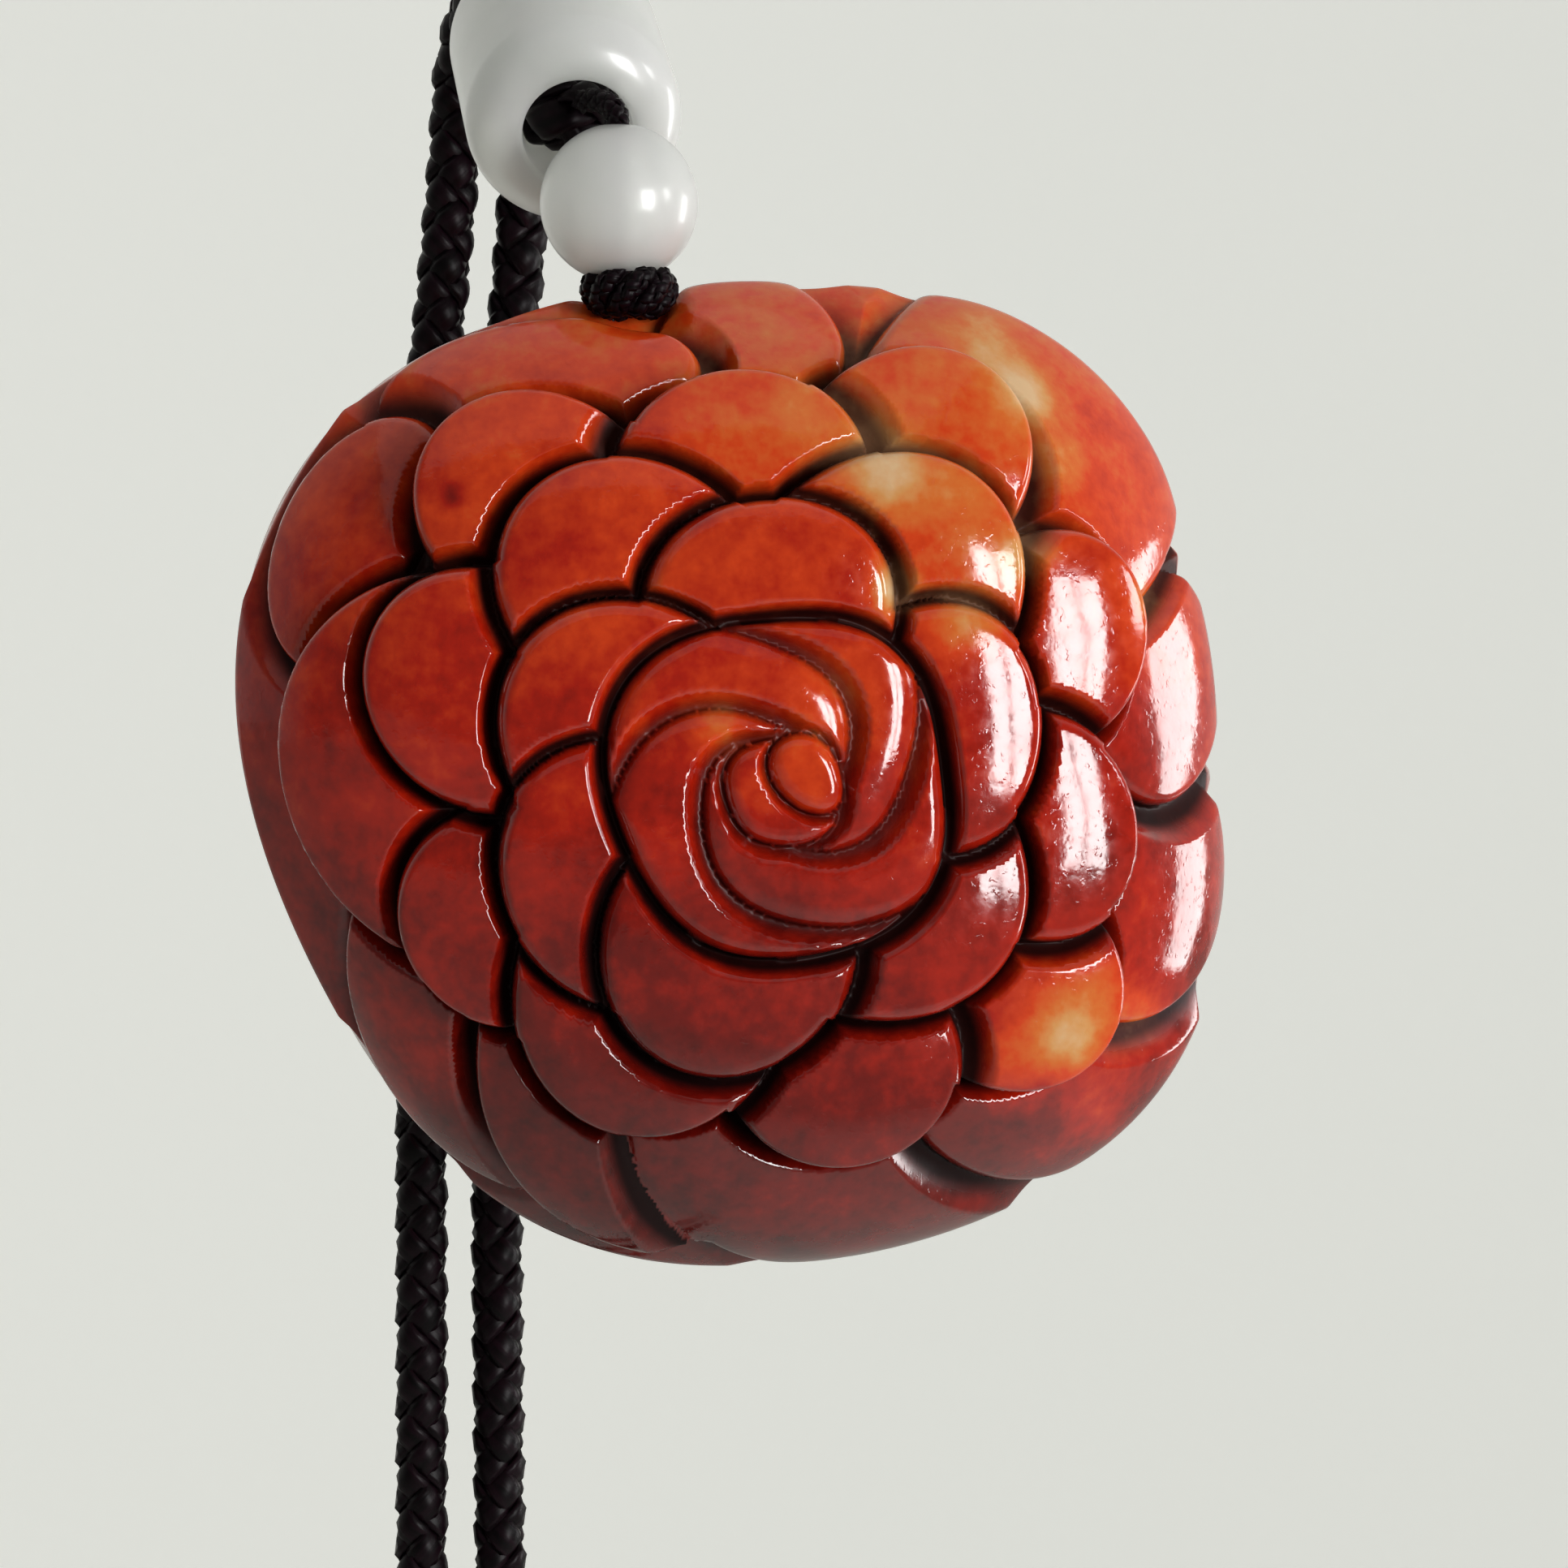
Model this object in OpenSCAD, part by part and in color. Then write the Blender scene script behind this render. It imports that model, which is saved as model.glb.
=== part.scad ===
// Carved stone flower pendant with two beads on a braided neck cord.
// Frame: X right, Z up, the flower looks along -Y. Millimetres.
// The origin is the middle of the pendant's flat back.

/* [Flower] */
// Mean radius of the flower seen from the front
flower_r = 20.1; // [16:0.1:26]
// Thickness from the flat back to the top of the dome
flower_t = 14; // [11:0.1:18]
// Radius of the rounded edge between the side and the flat back
back_edge_r = 4; // [2.5:0.1:5]
// Depth of the grooves between the petals
groove_depth = 0.8; // [0.3:0.05:1.4]
// Depth of the cuts between the leaves of the bud
bud_groove_depth = 0.7; // [0.2:0.05:1]
// Width of the rounding along a petal's free edge
petal_round = 0.8; // [0.5:0.05:1.5]
// Height of a petal's cushion above the dome
petal_crown = 0.3; // [0:0.05:0.8]
// Distance from its edge at which a petal reaches its full height
crown_run = 3.5; // [2:0.1:6]
// Share of the dome's slope that a petal takes back by sinking towards the flower's middle
lean_share = 0.7; // [0:0.05:0.9]
// Depth at which a petal has stopped sinking
lean_depth = 2.2; // [0.5:0.05:2.5]

/* [Thread] */
// Diameter of the hanging thread
thread_d = 1; // [0.6:0.05:1.4]
// Clearance round the thread in each drilled hole
thread_gap = 0.15; // [0.05:0.05:0.3]
// Depth of the dent in the top edge where the knot sits
seat_depth = 0.75; // [0:0.05:1.5]
// Width of the knot
knot_w = 4; // [3:0.1:5]
// Height of the knot
knot_h = 1.8; // [1.5:0.1:2.2]

/* [Beads] */
// Diameter of the round bead
round_bead_d = 6.2; // [5:0.1:8]
// Depth by which the round bead sinks into the knot's cup
bead_sink = 1.15; // [0.4:0.05:1.3]
// Clearance between the knot's cup and the round bead
bead_gap = 0.1; // [0.05:0.05:0.5]
// Clearance between the round bead and the barrel's mouth
mouth_gap = 0.2; // [0.1:0.05:1]
// Diameter of the barrel bead
barrel_d = 8.7; // [7.5:0.1:12]
// Length of the barrel bead
barrel_l = 11.2; // [8:0.1:16]
// Diameter of the barrel's hole
barrel_bore_d = 4.4; // [4:0.1:5]
// Radius of the barrel's rounded ends
barrel_end_r = 1.9; // [0.5:0.1:2]
// Angle by which the barrel leans back from the view axis
barrel_rise = 29.5; // [20:0.5:40]

/* [Cord] */
// Diameter of the braided neck cord
cord_d = 2.5; // [2:0.05:2.6]
// Share of its thickness that the cord keeps where the barrel squeezes it
cord_squeeze = 0.82; // [0.7:0.01:0.85]
// Clearance round the folded braid in the barrel's mouth
fold_gap = 0.1; // [0.05:0.05:0.3]
// Depth by which the folded braid stays inside the barrel's mouth
fold_sink = 0.4; // [0:0.1:1.5]

/* [Hidden] */
$fn = 64;

// The outline: the mean radius swells by a share, a whole number of times round
WAVES = [
  // times, share, angle of the first swelling
  [1, 0.030, 35], [2, 0.027, -45], [3, 0.022, 40], [4, 0.033, 54.5], [5, 0.010, -29]];

// The petals on the flower's map, the covering one before those that it covers.
// The map unrolls the dome: a point's distance from the middle is measured along the
// surface. All lengths are shares of the flower's mean radius.
PETALS = [
  // across, up, half length, half width, turn, groove width
  [0.069, 0.023, 0.084, 0.062, -45, 0.020],
  [0.023, -0.009, 0.112, 0.104, 0, 0.030],
  [0.014, -0.006, 0.329, 0.329, 0, 0.032],
  [-0.090, -0.318, 0.259, 0.259, 0, 0.038],
  [-0.298, -0.179, 0.268, 0.268, 0, 0.026],
  [-0.255, 0.081, 0.266, 0.266, 0, 0.026],
  [0.000, 0.339, 0.236, 0.236, 0, 0.028],
  [0.323, 0.102, 0.233, 0.233, 0, 0.028],
  [0.198, -0.159, 0.301, 0.301, 0, 0.032],
  [-0.251, 0.394, 0.253, 0.253, 0, 0.038],
  [0.221, 0.371, 0.276, 0.276, 0, 0.038],
  [-0.548, 0.175, 0.239, 0.239, 0, 0.036],
  [-0.247, -0.428, 0.294, 0.294, 0, 0.038],
  [-0.555, -0.284, 0.245, 0.245, 0, 0.034],
  [0.152, -0.556, 0.242, 0.242, 0, 0.052],
  [0.543, -0.076, 0.230, 0.230, 0, 0.040],
  [0.499, -0.397, 0.222, 0.222, 0, 0.045],
  [-0.039, 0.613, 0.262, 0.262, 0, 0.065],
  [0.306, 0.655, 0.253, 0.253, 0, 0.075],
  [-0.438, 0.560, 0.245, 0.245, 0, 0.060],
  [0.595, 0.276, 0.224, 0.224, 0, 0.045],
  [-0.624, -0.006, 0.427, 0.427, 0, 0.055],
  [-0.871, 0.522, 0.313, 0.180, 60, 0.080],
  [-0.473, 0.886, 0.378, 0.190, 18, 0.080],
  [0.000, 1.045, 0.244, 0.244, 0, 0.080],
  [0.677, 0.776, 0.453, 0.453, 0, 0.080],
  [0.995, 0.224, 0.299, 0.299, 0, 0.080],
  [0.896, -0.199, 0.358, 0.358, 0, 0.080],
  [0.746, -0.522, 0.463, 0.463, 0, 0.080],
  [0.314, -0.686, 0.600, 0.600, 0, 0.055],
  [-0.160, -0.612, 0.488, 0.488, 0, 0.060],
  [-0.530, -0.510, 0.500, 0.500, 0, 0.055]];
BUD = 1;
SWIRL = 2;

// The edges of the four leaves that wind round the bud
LEAVES = [
  // angle at the outer ring, angle at the bud
  [331, 103], [403, 275], [470, 356], [541, 432]];
leaf_power = 0.7;
lobe_round_share = 0.8;
leaf_round_share = 1.9;
leaf_groove_share = 1.0;

// The dome turns from flat to upright with this power of the way out
dome_power = 2.3;
profile_steps = 60;
front_rings = 34;
back_rings = 4;

// Sums of the cosine and sine of the slope from the middle out to the rim
function slope(f) = 90 * pow(f, dome_power);
PROFILE = [
  for (i = 0, c = 0, s = 0; i <= profile_steps;
       c = c + cos(slope((i + 0.5) / profile_steps)) / profile_steps,
       s = s + sin(slope((i + 0.5) / profile_steps)) / profile_steps, i = i + 1) [c, s]];
profile_end = PROFILE[profile_steps];
rim_reach = 1 / profile_end[0];
edge_reach = 90 * PI / 180 * back_edge_r / flower_r;

function profile_at(f) =
  let (i = min(floor(f * profile_steps), profile_steps - 1), t = f * profile_steps - i)
  PROFILE[i] * (1 - t) + PROFILE[i + 1] * t;

function outline_share(a) = 1 + sum([for (w = WAVES) w[1] * cos(w[0] * (a - w[2]))]);
function sum(v, i = 0) = i < len(v) ? v[i] + sum(v, i + 1) : 0;

// Signed distance from a map point to a petal's edge, in mm, negative inside
function edge_distance(p, q) =
  let (dx = p[0] - q[0], dz = p[1] - q[1],
       a = dx * cos(q[4]) + dz * sin(q[4]), b = dz * cos(q[4]) - dx * sin(q[4]),
       k = norm([a / q[2], b / q[3]]),
       g = norm([a / pow(q[2], 2), b / pow(q[3], 2)]))
  flower_r * (g < 0.001 ? -q[3] : k * (k - 1) / g);

// Rounding of a free edge: a quarter of an ellipse from the groove's floor up to the petal
function rounded(e, depth, run) = -depth * (1 - sqrt(1 - pow(1 - min(e / run, 1), 2)));
// Groove beside an edge: deepest at the edge, steep and a little eased at its rim
groove_power = 1.3;
function grooved(d, depth, width) =
  d >= width ? 0 : -depth * pow(1 - pow(d / width, 2), groove_power);

// The leaves round the bud: the angle of an edge grows with a power of the way out
function leaf_relief(p) =
  let (o = PETALS[SWIRL], bud = PETALS[BUD],
       dx = p[0] - bud[0], dz = p[1] - bud[1],
       r = max(norm([dx, dz]), 0.001), a = atan2(dz, dx),
       span = o[2] - bud[3], way = max((r - bud[3]) / span, 0.03),
       turns = [for (l = LEAVES)
         let (m = a - l[1] - (l[0] - l[1]) * pow(way, leaf_power)) m - 360 * floor(m / 360)],
       pitch = [for (l = LEAVES)
         cos(atan(r * (l[0] - l[1]) * PI / 180 / span * leaf_power * pow(way, leaf_power - 1)))],
       mm = flower_r * r * PI / 180,
       inside = min([for (i = [0 : len(LEAVES) - 1]) mm * turns[i] * pitch[i]]),
       outside = min([for (i = [0 : len(LEAVES) - 1]) mm * (360 - turns[i]) * pitch[i]]))
  min(rounded(inside, bud_groove_depth, leaf_round_share * petal_round),
      grooved(outside, bud_groove_depth, leaf_groove_share * petal_round));

// Towards the top and the bottom of the stone the cuts run out to this share less
run_out_from = 1.0;
run_out_share = 0.75;
function run_out(p) = let (u = max(norm(p), 0.001))
  1 - run_out_share * pow(p[1] / u, 2)
      * min(max((u - run_out_from) / (rim_reach - run_out_from), 0), 1);

// The smooth dent for the knot, on the same map
seat_at = [-0.27, 1.17];
seat_share = 0.16;
function seat(p) =
  seat_depth * pow(max(1 - pow(norm(p - seat_at) / seat_share, 2), 0), 2);

function first_inside(ds, i = 0) = i < len(ds) && ds[i] > 0 ? first_inside(ds, i + 1) : i;

// How far a petal, or past the last petal the bare dome, has sunk at a map point. It
// levels out like a hyperbolic tangent.
function leaning(p, i) = i <= SWIRL ? 0 :
  let (q = i < len(PETALS) ? PETALS[i] : [0, rim_reach, 0, 0],
       middle = norm([q[0], q[1]]), outermost = min(middle + q[3], rim_reach),
       fall = lean_share * sin(slope(min(middle / rim_reach, 1))),
       x = exp(2 * fall * flower_r * max(outermost - norm(p), 0) / lean_depth))
  -lean_depth * (x - 1) / (x + 1);

// Height of the carving over the dome at a map point
function relief(p) =
  let (ds = [for (q = PETALS) edge_distance(p, q)],
       own = first_inside(ds), lean = leaning(p, own),
       step = max(cut_depth(own) + lean - leaning(p, first_inside(ds, own + 1)), 0),
       cuts = [for (i = [0 : 1 : own - 1])
                 grooved(ds[i], max(cut_depth(i), lean - leaning(p, i)), PETALS[i][5] * flower_r)],
       cut = own > 0 ? min(cuts) : 0,
       edge = own < len(ds) ? rounded(-ds[own], step, edge_run(own)) : 0,
       leaf = own == SWIRL ? leaf_relief(p) : 0,
       crown = own < len(ds) && own > SWIRL
         ? petal_crown * (1 - pow(1 - min(-ds[own] / crown_run, 1), 2)) : 0)
  lean + crown * max(1 + cut / groove_depth, 0) + min(edge, cut, leaf) * run_out(p) - seat(p);
function cut_depth(i) = i <= BUD ? bud_groove_depth : groove_depth;
function edge_run(i) = i <= BUD ? lobe_round_share * petal_round : petal_round;

// The point of the carved surface that belongs to a map point
function flower_point(p) =
  let (u = norm(p), a = atan2(p[1], p[0]),
       front = u <= rim_reach, f = min(u / rim_reach, 1), c = profile_at(f),
       turn = front ? 0 : (u - rim_reach) / edge_reach * 90,
       tilt = front ? slope(f) : 90 + turn,
       r = outline_share(a) * flower_r * c[0] / profile_end[0]
           - back_edge_r * (1 - cos(turn)),
       y = -back_edge_r * (1 - sin(turn))
           - (flower_t - back_edge_r) * (1 - c[1] / profile_end[1]),
       fade = front ? 1 : cos(turn),
       h = relief(p) * fade)
  [(r + h * sin(tilt)) * cos(a), y - h * cos(tilt), (r + h * sin(tilt)) * sin(a)];

function ring_reach(k) = k <= front_rings ? rim_reach * k / front_rings
  : rim_reach + edge_reach * (k - front_rings) / back_rings;

// A map point that lies near the floor of a groove moves onto it, so that the groove stays
// sharp on the coarse net. It moves by this share of the distance between rings at most.
snap_share = 0.45;
function snapped(p) =
  let (ds = [for (q = PETALS) edge_distance(p, q)],
       last = min(first_inside(ds), len(ds) - 1),
       near = [for (i = [0 : last]) abs(ds[i])],
       k = search(min(near), near)[0], q = PETALS[k],
       dx = p[0] - q[0], dz = p[1] - q[1],
       a = (dx * cos(q[4]) + dz * sin(q[4])) / pow(q[2], 2),
       b = (dz * cos(q[4]) - dx * sin(q[4])) / pow(q[3], 2),
       way = [a * cos(q[4]) - b * sin(q[4]), a * sin(q[4]) + b * cos(q[4])])
  near[k] < snap_share * flower_r * rim_reach / front_rings && norm(way) > 0
    ? p - ds[k] / flower_r * unit(way) : p;

// Ring k of the net has 8k points
rings = front_rings + back_rings;
function ring_start(k) = k == 0 ? 0 : 1 + 4 * k * (k - 1);
function ring_index(k, j) = k == 0 ? 0 : ring_start(k) + (j % (8 * k));
FLOWER_POINTS = concat(
  [for (k = [0 : rings]) for (j = [0 : max(8 * k, 1) - 1])
     let (a = k == 0 ? 0 : 45 * j / k, p = ring_reach(k) * [cos(a), sin(a)])
     flower_point(k < front_rings ? snapped(p) : p)],
  [[0, 0, 0]]);
// Each eighth of a ring has k gaps inside and k + 1 outside
FLOWER_FACES = concat(
  [for (k = [0 : rings - 1]) for (o = [0 : 7]) for (i = [0 : k])
     [ring_index(k, o * k + i), ring_index(k + 1, o * (k + 1) + i + 1),
      ring_index(k + 1, o * (k + 1) + i)]],
  [for (k = [1 : rings - 1]) for (o = [0 : 7]) for (i = [0 : k - 1])
     [ring_index(k, o * k + i), ring_index(k, o * k + i + 1),
      ring_index(k + 1, o * (k + 1) + i + 1)]],
  [for (j = [0 : 8 * rings - 1])
     [ring_index(rings, j), ring_index(rings, j + 1), len(FLOWER_POINTS) - 1]]);

// The line that the thread hangs in: left of the middle and in front of the back
hang_x = -0.239 * flower_r;
hang_y = -0.357 * flower_t;

// The drilled hole: from the notch in the top edge down and back to the flat back
bore_top = [hang_x, hang_y, 0.945 * flower_r];
bore_back = [hang_x, 0, 0.68 * flower_r];
bore_d = thread_d + 2 * thread_gap;

// The knot sits in the notch, a little to the right, and the round bead in the knot's cup
knot_shift = 0.4;
knot_at = [hang_x + knot_shift, hang_y, 0.976 * flower_r];
bead_at = [hang_x, hang_y, knot_at[2] + knot_h / 2 + round_bead_d / 2 - bead_sink];

// The barrel's mouth lies up and left of the round bead, beyond it along the barrel
barrel_dir = unit([-0.03, cos(barrel_rise), sin(barrel_rise)]);
mouth_shift = [-1.3, -0.72, 1.27];
barrel_at = bead_at + mouth_shift + barrel_dir * (round_bead_d / 2 + mouth_gap);
fold_l = barrel_l / 2;

// Route of the hanging thread, in mm
THREAD_ROUTE = [
  [-6.1, -3.1, 26.6], [-5.6, -3.8, 26.6], [-5.0, -4.7, 26.2], [-4.8, -5.0, 25.4],
  [-4.8, -5.0, 24.2], [-4.8, -5.0, 22.0], [-4.8, -5.0, 20.2], [-4.8, -4.9, 19.2],
  [-4.8, -4.5, 18.5], [-4.8, -3.5, 17.4], [-4.8, -1.5, 15.3], [-4.8, 0.1, 13.6],
  [-4.8, 1.0, 13.1], [-4.8, 1.7, 13.6], [-4.8, 1.6, 15.0], [-4.8, 1.0, 16.6],
  [-4.8, 0.0, 18.2], [-4.7, -1.3, 19.3], [-4.6, -2.8, 19.7]];

// Route of the neck cord, in mm. The last column is 0 where the barrel squeezes the cord
// and 1 where it has its full thickness.
CORD_ROUTE = [
  [-7.4, 2.1, 28.2, 0], [-7.5, 5.0, 29.8, 0], [-7.6, 7.3, 31.1, 0], [-8.1, 9.6, 32.3, 1],
  [-8.6, 12.0, 33.1, 1], [-9.3, 14.5, 32.4, 1], [-9.8, 16.5, 30.0, 1],
  [-10.0, 17.2, 26.6, 1], [-10.5, 17.2, 21.2, 1], [-11.2, 17.0, 14.0, 1],
  [-11.6, 17.0, 0.0, 1], [-11.8, 17.0, -40.0, 1], [-12.4, 17.0, -100.0, 1],
  [-13.6, 17.0, -160.0, 1], [-15.6, 17.0, -215.0, 1], [-16.9, 17.0, -240.0, 1],
  [-16.2, 17.0, -251.0, 1], [-12.8, 17.0, -257.2, 1], [-7.2, 17.0, -257.2, 1],
  [-3.8, 17.0, -251.0, 1], [-3.1, 17.0, -240.0, 1], [-4.4, 17.0, -215.0, 1],
  [-6.4, 17.0, -160.0, 1], [-7.6, 17.0, -100.0, 1], [-8.2, 17.0, -40.0, 1],
  [-8.3, 17.0, 0.0, 1], [-7.9, 17.0, 14.0, 1], [-7.2, 17.2, 21.2, 1],
  [-6.8, 17.2, 26.6, 1], [-6.5, 16.5, 30.0, 1], [-6.2, 14.5, 32.4, 1],
  [-5.9, 12.0, 33.1, 1], [-5.5, 9.6, 32.3, 1], [-5.5, 7.3, 31.1, 0],
  [-5.4, 5.0, 29.8, 0], [-5.3, 2.1, 28.2, 0]];

// A smooth curve through the points of a route, with some steps from each to the next
function curve_between(a, b, c, d, t) =
  (2 * b + (c - a) * t + (2 * a - 5 * b + 4 * c - d) * pow(t, 2)
   + (3 * b - a - 3 * c + d) * pow(t, 3)) / 2;
function smooth(v, steps) = let (n = len(v)) concat(
  [for (i = [0 : n - 2]) for (k = [0 : steps - 1])
     curve_between(i == 0 ? 2 * v[0] - v[1] : v[i - 1], v[i], v[i + 1],
                   i == n - 2 ? 2 * v[n - 1] - v[n - 2] : v[i + 2], k / steps)],
  [v[n - 1]]);
function unit(v) = v / norm(v);
function first3(v) = [v[0], v[1], v[2]];

// A tube along a line of points with a radius at each, one closed solid
module tube(line, radii, sides) {
  n = len(line);
  ways = [for (i = [0 : n - 1]) unit(line[min(i + 1, n - 1)] - line[max(i - 1, 0)])];
  across = [for (i = 0, s = unit(cross(ways[0], [1, 0, 0])); i < n; i = i + 1,
                 s = i < n ? unit(s - (s * ways[i]) * ways[i]) : s) s];
  points = [for (i = [0 : n - 1]) for (j = [0 : sides - 1])
    line[i] + radii[i] * (cos(360 * j / sides) * across[i]
                          + sin(360 * j / sides) * cross(ways[i], across[i]))];
  walls = [for (i = [0 : n - 2]) for (j = [0 : sides - 1])
    [i * sides + j, (i + 1) * sides + j, (i + 1) * sides + (j + 1) % sides,
     i * sides + (j + 1) % sides]];
  near_end = [for (j = [0 : sides - 1]) j];
  far_end = [for (j = [sides - 1 : -1 : 0]) (n - 1) * sides + j];
  polyhedron(points, concat([near_end, far_end], walls), convexity = 6);
}

// Turns a piece made along Z to lie along a direction
module along(dir) {
  rotate([0, acos(dir[2] / norm(dir)), atan2(dir[1], dir[0])]) children();
}

// The drill that makes the stone's hole, with this much to spare at both ends
drill_spare = 3;
module drill() {
  translate(bore_back) along(bore_top - bore_back) translate([0, 0, -drill_spare])
    cylinder(d = bore_d, h = norm(bore_top - bore_back) + 2 * drill_spare);
}

module flower_pendant() {
  color("firebrick") difference() {
    polyhedron(FLOWER_POINTS, FLOWER_FACES, convexity = 10);
    drill();
  }
}

module hanging_thread() {
  line = smooth(THREAD_ROUTE, 3);
  color("#2a1420") tube(line, [for (p = line) thread_d / 2], 8);
}

// A flat round lump with a cup for the bead and a hole for the thread
module thread_knot() {
  color("#2a1420") difference() {
    translate(knot_at) rotate_extrude() scale([knot_w / knot_h, 1]) intersection() {
      circle(d = knot_h);
      translate([0, -knot_h]) square(2 * knot_h);
    }
    translate(bead_at) {
      sphere(d = round_bead_d + 2 * bead_gap);
      cylinder(d = bore_d, h = 3 * round_bead_d, center = true);
    }
    drill();
  }
}

module round_bead() {
  color("gainsboro") translate(bead_at) difference() {
    sphere(d = round_bead_d);
    cylinder(d = bore_d, h = 2 * round_bead_d, center = true);
  }
}

// The barrel's profile: a straight wall with rounded ends, turned round its hole
module barrel_bead() {
  color("gainsboro") translate(barrel_at) along(barrel_dir) rotate_extrude() difference() {
    union() {
      translate([0, barrel_end_r]) square([barrel_d / 2, barrel_l - 2 * barrel_end_r]);
      square([barrel_d / 2 - barrel_end_r, barrel_l]);
      for (z = [barrel_end_r, barrel_l - barrel_end_r])
        translate([barrel_d / 2 - barrel_end_r, z]) circle(barrel_end_r);
    }
    translate([0, -barrel_l]) square([barrel_bore_d / 2, 3 * barrel_l]);
  }
}

module cord_fold() {
  fold_r = barrel_bore_d / 2 - fold_gap;
  color("#2a1420") translate(barrel_at) along(barrel_dir) translate([0, 0, fold_sink]) {
    translate([0, 0, fold_r / 2]) cylinder(r = fold_r, h = fold_l - fold_sink - fold_r / 2);
    intersection() {
      translate([0, 0, fold_r]) sphere(fold_r);
      cylinder(r = fold_r, h = fold_r / 2);
    }
  }
}

module neck_cord() {
  line = smooth(CORD_ROUTE, 2);
  thick = cord_d / 2;
  color("#1c1014") tube([for (p = line) first3(p)],
    [for (p = line) thick * (cord_squeeze + (1 - cord_squeeze) * min(max(p[3], 0), 1))], 8);
}

flower_pendant();
hanging_thread();
thread_knot();
round_bead();
barrel_bead();
cord_fold();
neck_cord();
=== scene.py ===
# %% [markdown]
# A carved flower pendant of red skin jade on a plaited neck cord.
# The solids of the design model come in first and stay where they are. Each visible piece is
# then a surface that numpy works out, laid over the solid that it stands for. The frame is
# in metres: X is right, Z is up and the flower looks along -Y. Lengths below are written in
# millimetres, as a carver would give them, and turned to metres when a mesh is made.

# %% Load the solids
import math
import bpy
import numpy as np
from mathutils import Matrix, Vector


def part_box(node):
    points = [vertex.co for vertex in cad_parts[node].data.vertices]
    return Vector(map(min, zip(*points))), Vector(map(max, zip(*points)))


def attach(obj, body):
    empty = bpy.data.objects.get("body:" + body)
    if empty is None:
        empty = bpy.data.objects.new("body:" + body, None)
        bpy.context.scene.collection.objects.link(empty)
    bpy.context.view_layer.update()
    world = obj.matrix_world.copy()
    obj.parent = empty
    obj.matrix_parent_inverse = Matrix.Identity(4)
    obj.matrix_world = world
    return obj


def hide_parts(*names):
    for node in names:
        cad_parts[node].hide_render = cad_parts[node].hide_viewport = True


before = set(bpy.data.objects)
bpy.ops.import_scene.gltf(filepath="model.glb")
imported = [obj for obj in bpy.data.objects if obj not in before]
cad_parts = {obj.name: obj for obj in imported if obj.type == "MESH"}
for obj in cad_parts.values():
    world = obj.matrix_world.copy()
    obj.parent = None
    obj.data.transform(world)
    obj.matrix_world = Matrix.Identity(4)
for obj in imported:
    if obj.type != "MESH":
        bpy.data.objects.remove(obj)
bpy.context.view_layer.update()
MM = 0.001
print("solids", sorted(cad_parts))

# %% [markdown]
# The camera stands close to the flower, a little to its left and above, with a long lens, as
# a phone does when it takes a small thing from near. It looks at a point beside the flower's
# middle, so that the beads come into the picture at the top.

# %% Camera
AZIMUTH = math.radians(-8)
ELEVATION = math.radians(3)
DISTANCE = 154
LENS = 88.96
SENSOR_WIDTH = 36
PAN_RIGHT = 1.774
PAN_UP = -0.355
back = np.array([math.sin(AZIMUTH) * math.cos(ELEVATION),
                 -math.cos(AZIMUTH) * math.cos(ELEVATION), math.sin(ELEVATION)])
right = np.array([math.cos(AZIMUTH), math.sin(AZIMUTH), 0])
upward = np.cross(back, right)
outline_middle = np.array([0, -4.5, 0])
eye = outline_middle + DISTANCE * back + PAN_RIGHT * right + PAN_UP * upward

camera = bpy.data.objects.new("camera", bpy.data.cameras.new("camera"))
camera.data.lens = LENS
camera.data.sensor_width = SENSOR_WIDTH
camera.data.clip_start = 0.01
camera.data.clip_end = 20
camera.location = eye * MM
camera.rotation_mode = "QUATERNION"
camera.rotation_quaternion = Vector(-back).to_track_quat("-Z", "Y")
bpy.context.collection.objects.link(camera)
bpy.context.scene.camera = camera
print("camera at", np.round(eye, 1), "mm")


# %% [markdown]
# Every piece ends as one mesh whose object sits at the origin. One helper takes an array of
# points and an array of faces, makes the mesh, shades it smooth and ties it to the frame.

# %% From arrays to a piece
def volume_in(points, faces):
    """Volume in cubic mm: a sixth of the sum of the corners' triple products, plus if faces look out."""
    fans = [f[:, [0, i, i + 1]] for f in faces for i in range(1, f.shape[1] - 1)]
    a, b, c = points[np.vstack(fans)].transpose(1, 0, 2)
    return (np.cross(a, b) * c).sum() / 6


def add_piece(name, points, faces, replaces, uv=None):
    """Makes a mesh object from points in mm and a list of face arrays, and has it replace a solid."""
    mesh = bpy.data.meshes.new(name)
    mesh.from_pydata((np.asarray(points) * MM).tolist(), [], [row for f in faces for row in f.tolist()])
    mesh.shade_smooth()
    if uv is not None:
        layer = mesh.uv_layers.new(name="along")
        corner = np.empty(len(mesh.loops), dtype=np.int64)
        mesh.loops.foreach_get("vertex_index", corner)
        layer.data.foreach_set("uv", uv[corner].astype(np.float32).ravel())
    mesh.validate()
    piece = bpy.data.objects.new(name, mesh)
    bpy.context.collection.objects.link(piece)
    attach(piece, "root")
    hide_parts(replaces)
    print(name, sum(len(f) * (f.shape[1] - 2) for f in faces), "triangles",
          round(volume_in(points, faces), 1), "cubic mm")
    return piece


def unit(v):
    """Each vector divided by its own length."""
    return v / np.linalg.norm(v, axis=-1, keepdims=True)


# %% [markdown]
# The neck cord is a round plait. Its two runs leave the back of the barrel bead side by side,
# turn down behind the flower and hang as one long loop. The route is the same list of points
# as in the solid, and a smooth curve goes through all of them.

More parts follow.
